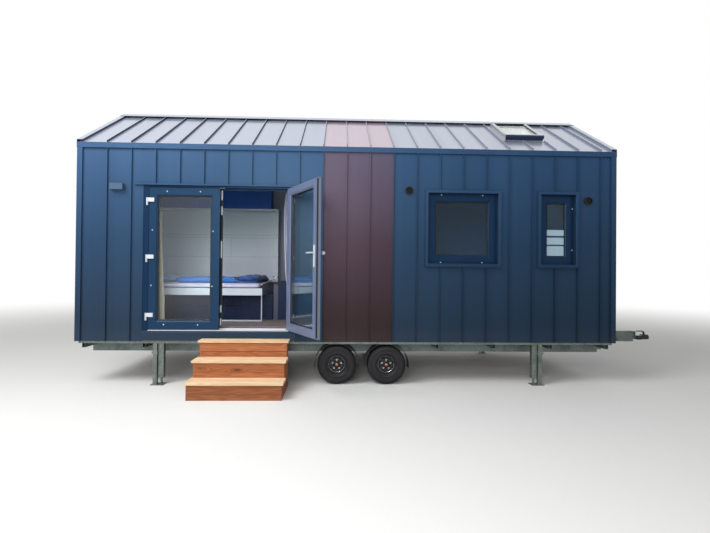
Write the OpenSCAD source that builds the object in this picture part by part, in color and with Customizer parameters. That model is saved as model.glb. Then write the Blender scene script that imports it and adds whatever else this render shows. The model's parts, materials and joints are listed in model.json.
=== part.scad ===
// Tiny house on a two-axle trailer, clad in standing-seam sheet metal.
// Millimetres, +Z up. The front, with its door, faces -Y and the drawbar points to +X.
// The sizes below are given about the middle of the body; placed() moves the whole
// house so that its origin is the middle of its bounding box, at ground level.

/* [Body] */
// Length of the body over its end seams
body_l = 7200; // [6900:50:8400]
// Width of the body over its side seams
body_w = 2550; // [2450:10:2600]
// Height of the body's lower edge above the ground
body_z = 578; // [560:1:620]
// Height of the eave line above the ground
eave_z = 3186; // [3050:2:3300]
// Pitch of the two roof slopes in degrees
roof_pitch = 31; // [24:1:38]
// Thickness of the timber walls
wall_t = 120; // [90:5:160]
// Thickness of the floor
floor_t = 187; // [170:1:220]
// Thickness of the roof deck
deck_t = 110; // [80:5:150]

/* [Standing-seam cladding] */
// Width of a panel from seam to seam
pan_w = 314.7; // [280:0.1:340]
// Height of a standing seam over the panel
seam_h = 25; // [18:1:35]
// Width of the folded head of a seam
seam_w = 9; // [6:1:14]
// Thickness of the sheet with its backing
sheet_t = 3; // [2:0.5:5]
// Number of the first brown panel, counted from the left
band_first = 10; // [8:1:14]
// Number of brown panels
band_count = 3; // [1:1:5]

/* [Trims] */
// Width of the corner and verge trims
trim_w = 66; // [50:1:90]
// Height of the eave flashing
eave_trim_h = 72; // [50:1:100]
// Half width of the ridge cap, along the slope
ridge_cap_w = 140; // [100:5:200]
// How far trims stand proud of the seams
trim_proud = 5; // [3:1:12]

/* [Double door] */
// Middle of the doorway, from the middle of the body
door_x = -1745; // [-1900:5:-1700]
// Width of the door frame
door_w = 2000; // [1900:10:2060]
// Height of the door frame's upper edge above the ground
door_top_z = 2637; // [2500:1:2700]
// Height of the door frame's lower edge above the ground
door_z = 720; // [715:1:730]
// Face width of the frame's jambs
jamb_w = 70; // [50:1:90]
// Face width of the frame's head
head_w = 26; // [20:1:60]
// Thickness of the door frame
frame_t = 78; // [70:1:90]
// Thickness of a door leaf
leaf_t = 68; // [60:1:76]
// Gap around a leaf
leaf_gap = 5; // [5:1:8]
// Gap between the two leaves
meeting_gap = 10; // [9:1:14]
// Face width of a leaf's stiles and rails
stile_w = 110; // [90:1:130]
// Angle by which the right leaf stands open
open_angle = 118; // [60:0.5:120]
// Distance of the hinge pin from the leaf's edge
pin_side = 24; // [20:1:30]
// Distance of the hinge pin in front of the leaf's face
pin_out = 14; // [12:1:20]

/* [Windows] */
// Width of the square window's frame
win1_w = 960; // [700:10:1100]
// Middle of the square window
win1_x = 1502; // [1450:1:1550]
// Width of the narrow window's frame
win2_w = 490; // [400:10:600]
// Middle of the narrow window
win2_x = 2802; // [2750:1:2850]
// Height of both windows' frames
win_h = 960; // [700:10:1100]
// Height of the windows' lower edge above the ground
win_z = 1632; // [1500:1:1800]
// Face width of a window's fixed frame
win_frame_w = 46; // [35:1:60]
// Face width of a sash
sash_w = 68; // [50:1:80]
// How far the window frames lie behind the seams
win_recess = 72; // [50:1:78]
// Face width of the casing round a window
casing_w = 40; // [30:1:60]

/* [Roof window] */
// Middle of the roof window, from the middle of the body
sky_x = 2490; // [2300:5:2650]
// Width of the roof window
sky_w = 550; // [470:10:600]
// Length of the roof window down the slope
sky_l = 780; // [700:10:900]
// Distance of the roof window below the ridge, down the slope
sky_s = 225; // [205:5:300]
// Height of the roof window over the panels
sky_h = 62; // [50:1:90]

/* [Trailer] */
// Distance of each main rail from the middle of the body
rail_y = 930; // [880:5:960]
// Height of the main rails
rail_h = 150; // [120:5:180]
// Middle of the wheel pair, from the middle of the body
axles_x = 152; // [0:1:300]
// Distance between the two axles
axle_pitch = 671; // [640:1:700]
// Outer radius of the tyres
tyre_r = 262; // [240:1:275]
// Width of the tyres
tyre_w = 178; // [150:1:185]
// Radius of the rims
rim_r = 138; // [130:1:146]
// Length of the drawbar from the body to the nose of the coupling
drawbar_l = 1343; // [1200:1:1600]
// Height of the coupling's ball above the ground
ball_z = 470; // [440:1:500]
// Distance of the legs from the middle of the body
leg_x = 2577; // [2300:1:2900]

/* [Steps] */
// Left end of the treads
step_x = -1953; // [-2000:1:-1900]
// Length of the treads
step_l = 1148; // [900:1:1200]
// Rise of a step
step_rise = 207; // [190:1:207]
// Going of a step
step_going = 261; // [230:1:300]
// Thickness of the treads
tread_t = 27; // [22:1:35]
// Overhang of the treads over the risers
nosing = 20; // [10:1:30]

/* [Wall bed] */
// Left end of the bed
bed_x = -3390; // [-3400:1:-3300]
// Length of the bed
bed_l = 2100; // [1900:10:2100]
// Front edge of the bed
bed_y = -600; // [-650:5:-550]
// Width of the bed
bed_w = 1440; // [1300:10:1440]
// Height of the bed rail's lower edge above the ground
bed_z = 1153; // [1100:1:1200]
// Height of the bed rail
bed_rail_h = 104; // [80:1:120]

/* [Hidden] */
$fn = 48;

half_l = body_l / 2;
half_w = body_w / 2;
// Outer faces of the panels between seams, and of the timber behind them
pan_x = half_l - seam_h;
pan_y = half_w - seam_h;
core_x = pan_x - sheet_t;
core_y = pan_y - sheet_t;
room_x = core_x - wall_t;
room_y = core_y - wall_t;
floor_z = body_z + floor_t;
ridge_z = eave_z + half_w * tan(roof_pitch);
slope_l = half_w / cos(roof_pitch);
deck_depth = sheet_t + deck_t;
// The walls stop this far under the roof deck
wall_gap = 0.1;
wall_depth = deck_depth + wall_gap;
eave_low = eave_z - eave_trim_h;
// Seam number n stands at seam_x(n); number 0 is the edge of the corner trim
function seam_x(n) = -half_l + trim_w + n * pan_w;
last_x = half_l - trim_w;
seam_count = floor((last_x - seam_x(0)) / pan_w - 0.2);
// Seams on a gable, to each side of its middle
gable_seams = floor((half_w - trim_w) / pan_w - 0.2);
band_a = seam_x(band_first);
band_b = seam_x(band_first + band_count);
// Height of the plane that lies d under the roof panels, at a distance y from the ridge
function roof_at(y, d) = eave_z + (half_w - abs(y)) * tan(roof_pitch) - d / cos(roof_pitch);

door_left = door_x - door_w / 2;
door_right = door_x + door_w / 2;
door_face = pan_y + 4;
leaf_face = door_face + 2;
leaf_w = (door_w - 2 * jamb_w - 2 * leaf_gap - meeting_gap) / 2;
leaf_z = door_z + 14;
leaf_h = door_top_z - head_w - leaf_gap - leaf_z;
pin_y = -leaf_face - pin_out;
left_pin_x = door_left + jamb_w + leaf_gap - pin_side;
right_pin_x = door_right - jamb_w - leaf_gap + pin_side;
hinge_zs = [925, 1690, 2440];
door_casing_w = 112;
lintel_h = 26;
sill_low = body_z + 14;
glass_t = 24;
handle_z = 1734;
handle_in = 54;

// Sections of the trailer's steel
rail_flange = 50;
rail_t = 5;
rail_z = body_z - 30 - rail_h;
member_count = 10;
member_w = 40;
member_h = 90;
member_t = 4;
member_inset = 70;
edge_w = 60;
edge_h = 30;
edge_y = core_y - 6;
stub_r = 20;
guard_r = tyre_r + 38;
guard_t = 4;
guard_w = tyre_w + 14;
guard_top = body_z - edge_h - 2;
tyre_face = half_w - 50;
tyre_mid = tyre_face - tyre_w / 2;
axle_xs = [axles_x - axle_pitch / 2, axles_x + axle_pitch / 2];
nose_x = half_l + drawbar_l;
ball_x = nose_x - 62;
beam_h = 120;
beam_t = 5;
beam_flange = 45;
beam_y0 = 640;
beam_y1 = 42;
beam_end_x = nose_x - 600;
pole_end_x = nose_x - 253;
beam_run = [beam_end_x - half_l, beam_y0 - beam_y1];
socket_r = 25.3;
socket_z = ball_z - 18;
socket_h = 48;
leg_y = half_w - 60;

// The box of the house: its lowest x is the left verge, its highest the coupling's nose,
// its lowest y the free corner of the open leaf and its highest the rear eave flashing
lip_x = half_l + trim_proud;
lip_y = half_w + trim_proud;
corner_u = pin_side + leaf_w;
corner_v = pin_out + leaf_t;
leaf_tip_y = pin_y - corner_u * sin(open_angle) + corner_v * cos(open_angle);
mid_x = (nose_x - lip_x) / 2;
mid_y = (leaf_tip_y + lip_y) / 2;

module placed() { translate([-mid_x, -mid_y, 0]) children(); }

// Small helpers

// Both ends or both sides of the house
module both_x() { children(); mirror([1, 0, 0]) children(); }
module both_y() { children(); mirror([0, 1, 0]) children(); }
// A box given by its two corners
module block(a, b) { translate(a) cube(b - a); }
// An outline in Y and Z, carried along X from x0 to x1
module along_x(x0, x1) {
    translate([x0, 0, 0]) rotate([90, 0, 90]) linear_extrude(x1 - x0) children();
}
// An outline in X and Z, carried along Y from y0 to y1
module along_y(y0, y1) {
    translate([0, y1, 0]) rotate([90, 0, 0]) linear_extrude(y1 - y0) children();
}
// Something drawn in X (along the ridge), Y (out of the roof) and Z (down the slope)
module on_front_slope() { translate([0, 0, ridge_z]) rotate([90 + roof_pitch, 0, 0]) children(); }

// A sheet of thickness t folded along a path; the second face lies to the left of it
function unit(v) = v / norm(v);
function left_of(v) = [-v[1], v[0]];
function fold_point(p, i, t) =
    let (
        before = unit(i > 0 ? p[i] - p[i - 1] : p[1] - p[0]),
        after = i < len(p) - 1 ? unit(p[i + 1] - p[i]) : before,
        m = left_of(before) + left_of(after)
    )
    p[i] + 2 * t * m / (m * m);
module folded(p, t = sheet_t) {
    polygon(concat(p, [for (i = [len(p) - 1:-1:0]) fold_point(p, i, t)]));
}

// Standing-seam sheet

// Section of one seam: a thin web, rooted in the sheet, with the double fold on one side
seam_web = 3;
seam_head = 10;
module seam_2d() {
    edge = seam_w - seam_web / 2;
    polygon([
        [-seam_web / 2, -1], [seam_web / 2, -1], [seam_web / 2, seam_h - seam_head],
        [edge, seam_h - seam_head], [edge, seam_h - 2], [edge - 2, seam_h], [-seam_web / 2, seam_h]
    ]);
}
// Section of the sheet from xa to xb, with seams number na to nb
module sheet_2d(xa, xb, na, nb) {
    translate([xa, 0]) square([xb - xa, sheet_t]);
    for (n = [na:1:nb]) translate([seam_x(n), sheet_t]) seam_2d();
}
// A wall's sheet on the front, from z0 to z1
module front_sheet(xa, xb, na, nb, z0, z1) {
    translate([0, -core_y, z0]) mirror([0, 1, 0]) linear_extrude(z1 - z0) sheet_2d(xa, xb, na, nb);
}
// A roof's sheet on the front slope, cut off plumb at the eave
module slope_sheet(xa, xb, na, nb) {
    gap = 18;
    difference() {
        on_front_slope() translate([0, -sheet_t, gap]) linear_extrude(slope_l - gap + 2 * seam_h)
            sheet_2d(xa, xb, na, nb);
        block([-half_l, -half_w - 100, eave_z - 100], [half_l, -lip_y, eave_z + 100]);
    }
}

// Openings in the walls

// The hole in the front sheet that the door's flashing fills
module door_hole() {
    block([door_left - door_casing_w, -half_w - 50, body_z - 1],
          [door_right + casing_w, -core_y + 1, door_top_z + lintel_h]);
}
module window_holes(grow = 0) {
    for (w = [[win1_x, win1_w], [win2_x, win2_w]])
        block([w[0] - w[1] / 2 - grow, -half_w - 50, win_z - grow],
              [w[0] + w[1] / 2 + grow, -room_y + 10, win_z + win_h + grow]);
}
module skylight_hole(inset) {
    on_front_slope()
        block([sky_x - sky_w / 2 + inset, -deck_depth - 60, sky_s + inset],
              [sky_x + sky_w / 2 - inset, 60, sky_s + sky_l - inset]);
}

// Trailer

// Section of a channel whose web stands at y = 0 and whose flanges point to +Y
module channel_2d(flange, h, t) { folded([[flange, 0], [0, 0], [0, h], [flange, h]], -t); }
module cross_member(x, reach) {
    along_y(-reach, reach) translate([x, body_z - member_h]) difference() {
        square([member_w, member_h]);
        translate([member_t, member_t]) square([member_w - 2 * member_t, member_h - 2 * member_t]);
    }
}
module chassis_frame() placed() color("silver") {
    pitch = (body_l - 2 * member_inset - member_w) / (member_count - 1);
    edge_x = core_x - 6;
    both_y() along_x(-half_l + 60, half_l - 60)
        translate([-rail_y, rail_z]) channel_2d(rail_flange, rail_h, rail_t);
    for (i = [0:member_count - 1]) {
        x = -half_l + member_inset + i * pitch;
        near_wheels = x > axle_xs[0] - guard_r - 60 && x < axle_xs[1] + guard_r + 20;
        cross_member(x, near_wheels ? rail_y : edge_y - 20);
    }
    both_y() block([-edge_x, -edge_y, body_z - edge_h], [edge_x, -edge_y + edge_w, body_z]);
    both_x() block([-edge_x, -edge_y, body_z - edge_h], [-edge_x + edge_w, edge_y, body_z]);
    // The headboard that the drawbar's beams are welded to
    block([half_l - 60, -rail_y, rail_z + 40], [half_l, rail_y, body_z]);
}
module drawbar_beam() {
    intersection() {
        translate([half_l, -beam_y0, ball_z]) rotate([0, 0, atan2(beam_run[1], beam_run[0])])
            along_x(-beam_h, norm(beam_run) + beam_h) channel_2d(beam_flange, beam_h, beam_t);
        block([half_l, -half_w, ball_z - 1], [beam_end_x, 6, ball_z + beam_h + 1]);
    }
}
// The straight part in front: a beam with two flanges, a low tube under it and an end plate
module drawbar_pole() {
    x0 = beam_end_x + 19;
    z0 = ball_z - 6;
    z1 = ball_z + 116;
    flange_t = 12;
    pole_w = 57;
    difference() {
        block([x0, -pole_w, z0], [pole_end_x, pole_w, z1]);
        both_y() block([x0 + 20, -pole_w - 1, z0 + flange_t], [pole_end_x - 14, 14 - pole_w, z1 - flange_t]);
    }
    block([x0 + 30, -40, z0 - 46], [pole_end_x - 30, 40, z0 + 1]);
}
module drawbar() placed() color("silver") {
    tie_x = beam_end_x - 160;
    tie_t = 40;
    tie_w = 137;
    tip_w = beam_y1 + 18;
    both_y() drawbar_beam();
    block([tie_x, -tie_w, ball_z + beam_t + 4], [tie_x + tie_t, tie_w, ball_z + beam_h - beam_t - 4]);
    block([beam_end_x - 20, -tip_w, ball_z - 1], [beam_end_x + 20, tip_w, ball_z + beam_h + 1]);
    drawbar_pole();
}
// Section of the rubber bellows, carried round its axis
module bellows_2d(len, ribs, r_low, r_high) {
    pitch = len / ribs;
    polygon(concat(
        [[0, 0]],
        [for (i = [0:ribs - 1], k = [0, 1]) [k == 0 ? r_low : r_high, (i + 0.15 + 0.5 * k) * pitch]],
        [[r_low, len], [0, len]]
    ));
}
// The coupling head: its side view cut by its plan, with the socket from below
module head_block() {
    x0 = pole_end_x + 56;
    intersection() {
        along_y(-60, 60) polygon([
            [x0, ball_z - 26], [x0, ball_z + 36], [ball_x - 74, ball_z + 40], [ball_x - 46, ball_z + 58],
            [ball_x + 24, ball_z + 58], [nose_x, ball_z + 24], [nose_x, ball_z - 4],
            [ball_x + 40, socket_z], [ball_x - 44, socket_z], [ball_x - 84, ball_z - 26]
        ]);
        translate([0, 0, ball_z - 60]) linear_extrude(160) polygon([
            [x0, -36], [ball_x - 50, -36], [ball_x - 30, -42], [ball_x + 26, -42], [nose_x, -20],
            [nose_x, 20], [ball_x + 26, 42], [ball_x - 30, 42], [ball_x - 50, 36], [x0, 36]
        ]);
    }
}
module coupling_head() placed() color("dimgray") {
    grip = ball_z + 118;
    translate([pole_end_x, 0, ball_z + 6]) rotate([0, 90, 0]) rotate_extrude() bellows_2d(57, 4, 23, 29);
    difference() {
        head_block();
        translate([ball_x, 0, socket_z - 1]) cylinder(h = socket_h + 1, r = socket_r);
    }
    along_y(-12, 12) polygon([
        [ball_x - 140, grip], [ball_x - 44, grip], [ball_x - 12, grip - 16], [ball_x - 6, ball_z + 56],
        [ball_x - 26, ball_z + 56], [ball_x - 30, grip - 24], [ball_x - 50, grip - 14],
        [ball_x - 140, grip - 14]
    ]);
}
module axles() placed() color("gray") {
    tube = 70;
    arm_w = 30;
    for (x = axle_xs) {
        block([x + tube, -rail_y - 5, rail_z - tube], [x + 2 * tube, rail_y + 5, rail_z]);
        both_y() {
            block([x - 28, -rail_y - 5 - arm_w, tyre_r - 28], [x + 2 * tube, -rail_y - 5, rail_z]);
            translate([x, -rail_y - 5, tyre_r]) rotate([90, 0, 0])
                cylinder(h = tyre_mid - rail_y + 25, r = stub_r);
        }
    }
}
// Section of a mudguard about its wheel's hub: an arch with a flat top under the floor's edge
module guard_2d() {
    top = guard_top - tyre_r;
    flat_w = sqrt(guard_r * guard_r - top * top);
    intersection() {
        difference() {
            circle(r = guard_r);
            circle(r = guard_r - guard_t);
        }
        translate([1 - axle_pitch / 2, -40]) square([axle_pitch - 2, 40 + top]);
    }
    translate([3 - flat_w, top - guard_t]) square([2 * flat_w - 6, guard_t]);
}
module mudguards() placed() color("#1b1b1e") both_y() for (x = axle_xs) {
    translate([x, -tyre_face + tyre_w + 8, tyre_r]) rotate([90, 0, 0]) linear_extrude(guard_w) guard_2d();
    block([x - 20, -tyre_mid, guard_top - guard_t], [x + 20, -rail_y, guard_top - 1]);
}
// A leg: foot plate, galvanised post with its clamp, and a second post with the jack
post_w = 52;
jack_w = 70;
module corner_legs() placed() color("silver") both_x() both_y() translate([-leg_x, -leg_y, 0]) {
    top = body_z - edge_h;
    block([-50, -50, 0], [118, 84, 8]);
    block([-post_w / 2, -post_w / 2, 7], [post_w / 2, post_w / 2, top]);
    block([-post_w / 2 - 7, -post_w / 2 - 7, top - 150], [post_w / 2 + 7, post_w / 2 + 7, top - 90]);
    translate([-post_w / 2 - 6, 0, top - 120]) rotate([0, -90, 0]) cylinder(h = 26, r = 8);
    block([34, 0, 90], [34 + jack_w, jack_w, top]);
    block([20, 10, 100], [40, 24, 130]);
    translate([34 + jack_w / 2, jack_w / 2, 8]) cylinder(h = 84, r = 14);
}
module wheel_place(ix, side) {
    translate([axle_xs[ix], side * tyre_mid, tyre_r]) rotate([side < 0 ? 90 : -90, 0, 0]) children();
}
// Wheels are drawn with their outer face up
module tyre() {
    w = tyre_w / 2;
    color("#202124") rotate_extrude($fn = 96) polygon([
        [rim_r, -w + 14], [rim_r + 12, -w + 4], [tyre_r - 50, -w],
        [tyre_r - 14, -w + 12], [tyre_r, -w + 30],
        [tyre_r, -46], [tyre_r - 7, -46], [tyre_r - 7, -38], [tyre_r, -38],
        [tyre_r, -4], [tyre_r - 7, -4], [tyre_r - 7, 4], [tyre_r, 4],
        [tyre_r, 38], [tyre_r - 7, 38], [tyre_r - 7, 46], [tyre_r, 46],
        [tyre_r, w - 30], [tyre_r - 14, w - 12], [tyre_r - 50, w], [rim_r + 12, w - 4], [rim_r, w - 14]
    ]);
}
module rim() {
    w = tyre_w / 2;
    bowl_in = rim_r - 52;
    bowl_out = rim_r - 28;
    hub_r = 46;
    difference() {
        rotate_extrude($fn = 96) polygon([
            [stub_r + 0.3, 8], [hub_r + 2, 8], [hub_r + 14, 18], [bowl_in, 18], [bowl_out, 2],
            [rim_r - 9, 2], [rim_r - 9, -w + 20], [rim_r, -w + 15],
            [rim_r, w - 15], [rim_r - 9, w - 20], [rim_r - 9, 10], [bowl_out + 2, 10], [bowl_in + 2, 27],
            [hub_r + 14, 27], [hub_r, 17], [hub_r - 12, 22], [hub_r - 12, 44], [hub_r - 16, 50],
            [stub_r + 0.3, 50]
        ]);
        for (a = [0:45:315]) rotate(a) translate([(bowl_in + bowl_out) / 2, 0, 0]) cylinder(h = 40, r = 9);
    }
}

// Timber body

// Joints between the floorboards: one groove a row, and staggered butt joints
floorboard_w = 140;
floorboard_l = 1900;
groove_w = 3;
module floor_joints() {
    rows = floor(2 * room_y / floorboard_w);
    z = floor_z - groove_w;
    for (r = [1:rows]) {
        y = -room_y + r * floorboard_w;
        block([-room_x, y - groove_w, z], [room_x, y, floor_z + 1]);
        shift = (r % 3) * floorboard_l / 3;
        for (x = [-room_x + shift + 400:floorboard_l:room_x - 100])
            block([x, y - floorboard_w, z], [x + groove_w, y, floor_z + 1]);
    }
}
module floor() placed() color("#8d857a") difference() {
    block([-core_x, -core_y, body_z], [core_x, core_y, floor_z]);
    block([door_left, -core_y - 1, door_z], [door_right, -room_y, floor_z + 1]);
    floor_joints();
}
// Section of a side wall; its top follows the underside of the roof deck
module side_wall(x0, x1) {
    along_x(x0, x1) polygon([
        [-core_y, floor_z], [-room_y, floor_z],
        [-room_y, roof_at(room_y, wall_depth)], [-core_y, roof_at(core_y, wall_depth)]
    ]);
}
module front_wall_left() placed() color("#d9d9d6") side_wall(-core_x, door_left);
module front_wall_right() placed() color("#d9d9d6") difference() {
    side_wall(door_right, core_x);
    window_holes();
}
module front_wall_over_door() placed() color("#d9d9d6") difference() {
    side_wall(door_left, door_right);
    block([door_left - 1, -half_w, floor_z - 1], [door_right + 1, 0, door_top_z]);
}
module rear_wall() placed() color("#d9d9d6") mirror([0, 1, 0]) side_wall(-core_x, core_x);
module gable_walls() placed() color("#d9d9d6") both_x() along_x(room_x, core_x) polygon([
    [-room_y, floor_z], [room_y, floor_z], [room_y, roof_at(room_y, wall_depth)],
    [0, roof_at(0, wall_depth)], [-room_y, roof_at(room_y, wall_depth)]
]);
module deck_slope() {
    along_x(-core_x, core_x) polygon([
        [-core_y, roof_at(core_y, deck_depth)], [0, roof_at(0, deck_depth)],
        [0, roof_at(0, sheet_t)], [-core_y, roof_at(core_y, sheet_t)]
    ]);
}
module roof_deck_front() placed() color("#d9d9d6") difference() {
    deck_slope();
    skylight_hole(40);
}
module roof_deck_rear() placed() color("#d9d9d6") mirror([0, 1, 0]) deck_slope();

// Cladding

clad_top = eave_z - 20;
module wall_cladding() placed() color("#3b4c5e") {
    difference() {
        union() {
            front_sheet(-pan_x, band_a, 1, band_first, body_z, clad_top);
            front_sheet(band_b, pan_x, band_first + band_count, seam_count, body_z, clad_top);
        }
        door_hole();
        window_holes(casing_w);
    }
    mirror([0, 1, 0]) {
        front_sheet(-pan_x, band_a, 1, band_first, body_z, clad_top);
        front_sheet(band_b, pan_x, band_first + band_count, seam_count, body_z, clad_top);
    }
}
band_gap = 1.5;
module wall_band() placed() color("#5b3a3c") both_y()
    front_sheet(band_a + band_gap, band_b - band_gap, band_first + 1, band_first + band_count - 1,
                body_z, clad_top);
module gable_cladding() placed() color("#3b4c5e") both_x() intersection() {
    translate([core_x, 0, body_z]) rotate([0, 0, -90]) linear_extrude(ridge_z - body_z) {
        translate([-core_y, 0]) square([2 * core_y, sheet_t]);
        for (n = [-gable_seams:gable_seams]) translate([n * pan_w, sheet_t]) seam_2d();
    }
    along_x(0, half_l + 1) polygon([
        [-half_w, body_z], [half_w, body_z], [half_w, roof_at(half_w, 20)],
        [0, roof_at(0, 20)], [-half_w, roof_at(half_w, 20)]
    ]);
}
module roof_sheets() placed() color("#56606c") {
    difference() {
        union() {
            slope_sheet(-pan_x, band_a, 1, band_first);
            slope_sheet(band_b, pan_x, band_first + band_count, seam_count);
        }
        skylight_hole(-60);
    }
    mirror([0, 1, 0]) {
        slope_sheet(-pan_x, band_a, 1, band_first);
        slope_sheet(band_b, pan_x, band_first + band_count, seam_count);
    }
}
module roof_band() placed() color("#6b4a4c")
    both_y() slope_sheet(band_a + band_gap, band_b - band_gap, band_first + 1, band_first + band_count - 1);

// Trims

// The line that lies d under the roof panels, from one eave to the other
function chevron(y, d) = [[-y, roof_at(y, d)], [0, roof_at(0, d)], [y, roof_at(y, d)]];
module chevron_2d(y, d0, d1) {
    low = chevron(y, d1);
    polygon(concat(chevron(y, d0), [low[2], low[1], low[0]]));
}
module ridge_cap() placed() color("#4a5562") {
    over = seam_h + 3;
    y = ridge_cap_w * cos(roof_pitch);
    eave = roof_at(y, -over);
    along_x(-lip_x, lip_x) folded([[-y, eave], [0, roof_at(0, -over)], [y, eave]], 3);
    // The edges are folded double
    both_y() along_x(-lip_x, lip_x)
        folded([[-y - 1, eave], [-y + 16, roof_at(y - 16, -over)]], 5);
}
// The flashing's face hangs before the wall; its hem, folded double, rests on the seams
trim_t = 3;
hem_h = 14;
module eave_flashings() placed() color("#3d4c5c") both_y() {
    end_x = lip_x - trim_t - 0.1;
    top_y = core_y + 2;
    along_x(-end_x, end_x) folded([
        [-lip_y, eave_low], [-lip_y, roof_at(lip_y, sheet_t + 0.1)], [-top_y, roof_at(top_y, sheet_t + 0.1)]
    ], -trim_t);
    hem_x = half_l - trim_w - 1;
    block([-hem_x, -lip_y + 1, eave_low], [hem_x, -half_w - 0.1, eave_low + hem_h]);
}
module verge_trims() placed() color("#3d4c5c") both_x() {
    over = -seam_h - 3;
    along_x(lip_x - trim_t, lip_x) chevron_2d(lip_y, over, trim_w);
    along_x(half_l - trim_w, lip_x) chevron_2d(lip_y, over, over + trim_t);
    along_x(half_l - trim_w, half_l - trim_w + trim_t) chevron_2d(lip_y, over, -0.1);
}
module corner_trims() placed() color("#42546a") both_x() both_y()
    translate([0, 0, body_z]) linear_extrude(eave_low - body_z + 20) folded([
        [-half_l + trim_w, -pan_y], [-half_l + trim_w, -half_w - 2], [-half_l - 2, -half_w - 2],
        [-half_l - 2, -half_w + trim_w], [-pan_x, -half_w + trim_w]
    ], -3);

// Door frame and its trims

// How far the frame's stop reaches behind the leaves
door_stop = 14;
module door_frame() placed() color("#3a4a5a") {
    y0 = -door_face;
    y1 = y0 + frame_t + 22;
    stop_y = -leaf_face + leaf_t + leaf_gap;
    left = door_left + jamb_w;
    right = door_right - jamb_w;
    top = door_top_z - head_w;
    difference() {
        block([door_left, y0, door_z], [door_right, y1, door_top_z]);
        block([left, y0 - 1, door_z - 1], [right, stop_y, top]);
        block([left + door_stop, y0 - 1, door_z - 1], [right - door_stop, y1 + 8, top - door_stop]);
    }
}
module threshold() placed() color("silver") {
    y0 = -door_face;
    side = jamb_w + door_stop + 0.3;
    along_x(door_left + side, door_right - side) polygon([
        [y0 - 26, door_z + 0.1], [y0 - 26, door_z + 5], [y0, door_z + 8], [y0 + 60, door_z + 8],
        [y0 + 76, door_z + 22], [y0 + 92, door_z + 22], [y0 + 92, door_z + 0.1]
    ]);
}
module door_flashing() placed() color("#3d4c5e") {
    face = -half_w - trim_proud;
    along_x(door_left - door_casing_w, door_right + casing_w) polygon([
        [-core_y, door_top_z], [face - 9, door_top_z], [face - 9, door_top_z - 4],
        [face - 12, door_top_z - 4], [face - 12, door_top_z + 14], [face - 9, door_top_z + 17],
        [-core_y, door_top_z + lintel_h]
    ]);
    block([door_left - door_casing_w, -pan_y - 10, body_z], [door_left, -core_y, door_top_z + 1]);
    block([door_right, -pan_y - 10, body_z], [door_right + casing_w, -core_y, door_top_z + 1]);
    along_x(door_left - 1, door_right + 1) polygon([
        [-core_y, sill_low], [face, sill_low], [face, door_z - 22], [face + 4, door_z - 12],
        [-door_face, door_z], [-core_y, door_z]
    ]);
}

// Hinges

hinge_block_l = 104;
hinge_block_h = 52;
module hinge_frame_half(x) {
    for (z = hinge_zs) {
        foot = z - hinge_block_h / 2;
        translate([x, pin_y, foot - 46]) cylinder(h = 45.7, r = 10);
        block([x - 11, pin_y, foot - 46], [x + 11, -door_face, foot - 0.3]);
        translate([x, pin_y, foot - 1]) cylinder(h = hinge_block_h - 8, r = 5);
    }
}
module hinge_leaf_half(x, side) {
    for (z = hinge_zs) difference() {
        union() {
            translate([x, pin_y, z - hinge_block_h / 2]) cylinder(h = hinge_block_h, r = 11);
            block([min(x, x + side * (hinge_block_l - 11)), pin_y - 6, z - hinge_block_h / 2],
                  [max(x, x + side * (hinge_block_l - 11)), -leaf_face, z + hinge_block_h / 2]);
        }
        translate([x, pin_y, z - hinge_block_h / 2 - 1]) cylinder(h = hinge_block_h - 5, r = 5.5);
        block([x - pin_side, -door_face - leaf_gap, z - 40], [x + pin_side, -leaf_face + 1, z + 40]);
    }
}
module frame_hinges() placed() color("white") {
    hinge_frame_half(left_pin_x);
    hinge_frame_half(right_pin_x);
}

// Leaves, drawn closed; x runs from the leaf's hinge edge

// A frame of w by h mitred from one section; the section's first axis runs from the
// outer edge inwards and its second from the outer face to the room
module mitred_side(len, depth, reach) {
    intersection() {
        along_x(0, len) mirror([1, 0]) rotate(90) children();
        translate([0, -1, 0]) rotate([90, 0, 0]) mirror([0, 0, 1]) linear_extrude(depth + 2)
            polygon([[0, 0], [len, 0], [len - reach, reach], [reach, reach]]);
    }
}
module mitred_frame(w, h, depth, reach) {
    mitred_side(w, depth, reach) children();
    translate([w, 0, h]) rotate([0, 180, 0]) mitred_side(w, depth, reach) children();
    translate([w, 0, 0]) rotate([0, -90, 0]) mitred_side(h, depth, reach) children();
    translate([0, 0, h]) rotate([0, 90, 0]) mitred_side(h, depth, reach) children();
}
// Section of a door leaf: the outer lip with the lock strip's groove, the rebate behind it,
// and a sloping bead on both faces at the pane
strip_v = 20;
strip_w = 18;
strip_t = 2;
rebate_v = 42;
rebate_u = 14;
module leaf_2d() {
    t = leaf_t;
    polygon([
        [0, 0], [stile_w - 14, 0], [stile_w - 12, 6], [stile_w, 12], [stile_w, t - 14],
        [stile_w - 3, t - 10], [stile_w - 20, t - 5], [stile_w - 20, t], [rebate_u, t],
        [rebate_u, rebate_v], [0, rebate_v], [0, strip_v + strip_w], [strip_t, strip_v + strip_w],
        [strip_t, strip_v], [0, strip_v]
    ]);
}
module leaf_frame() { mitred_frame(leaf_w, leaf_h, leaf_t, stile_w) leaf_2d(); }
module leaf_pane() {
    translate([stile_w + 0.3, (leaf_t - glass_t) / 2, stile_w + 0.3])
        cube([leaf_w - 2 * stile_w - 0.6, glass_t, leaf_h - 2 * stile_w - 0.6]);
}
module at_left_leaf() { translate([door_left + jamb_w + leaf_gap, -leaf_face, leaf_z]) children(); }
module at_right_leaf() {
    translate([right_pin_x, pin_y, 0]) rotate(open_angle) translate([-right_pin_x, -pin_y, 0])
        translate([door_right - jamb_w - leaf_gap, -leaf_face, leaf_z]) mirror([1, 0, 0]) children();
}
module left_leaf() placed() color("#34465a") at_left_leaf() leaf_frame();
module left_glass() placed() color("#9fb0b8") at_left_leaf() leaf_pane();
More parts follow.
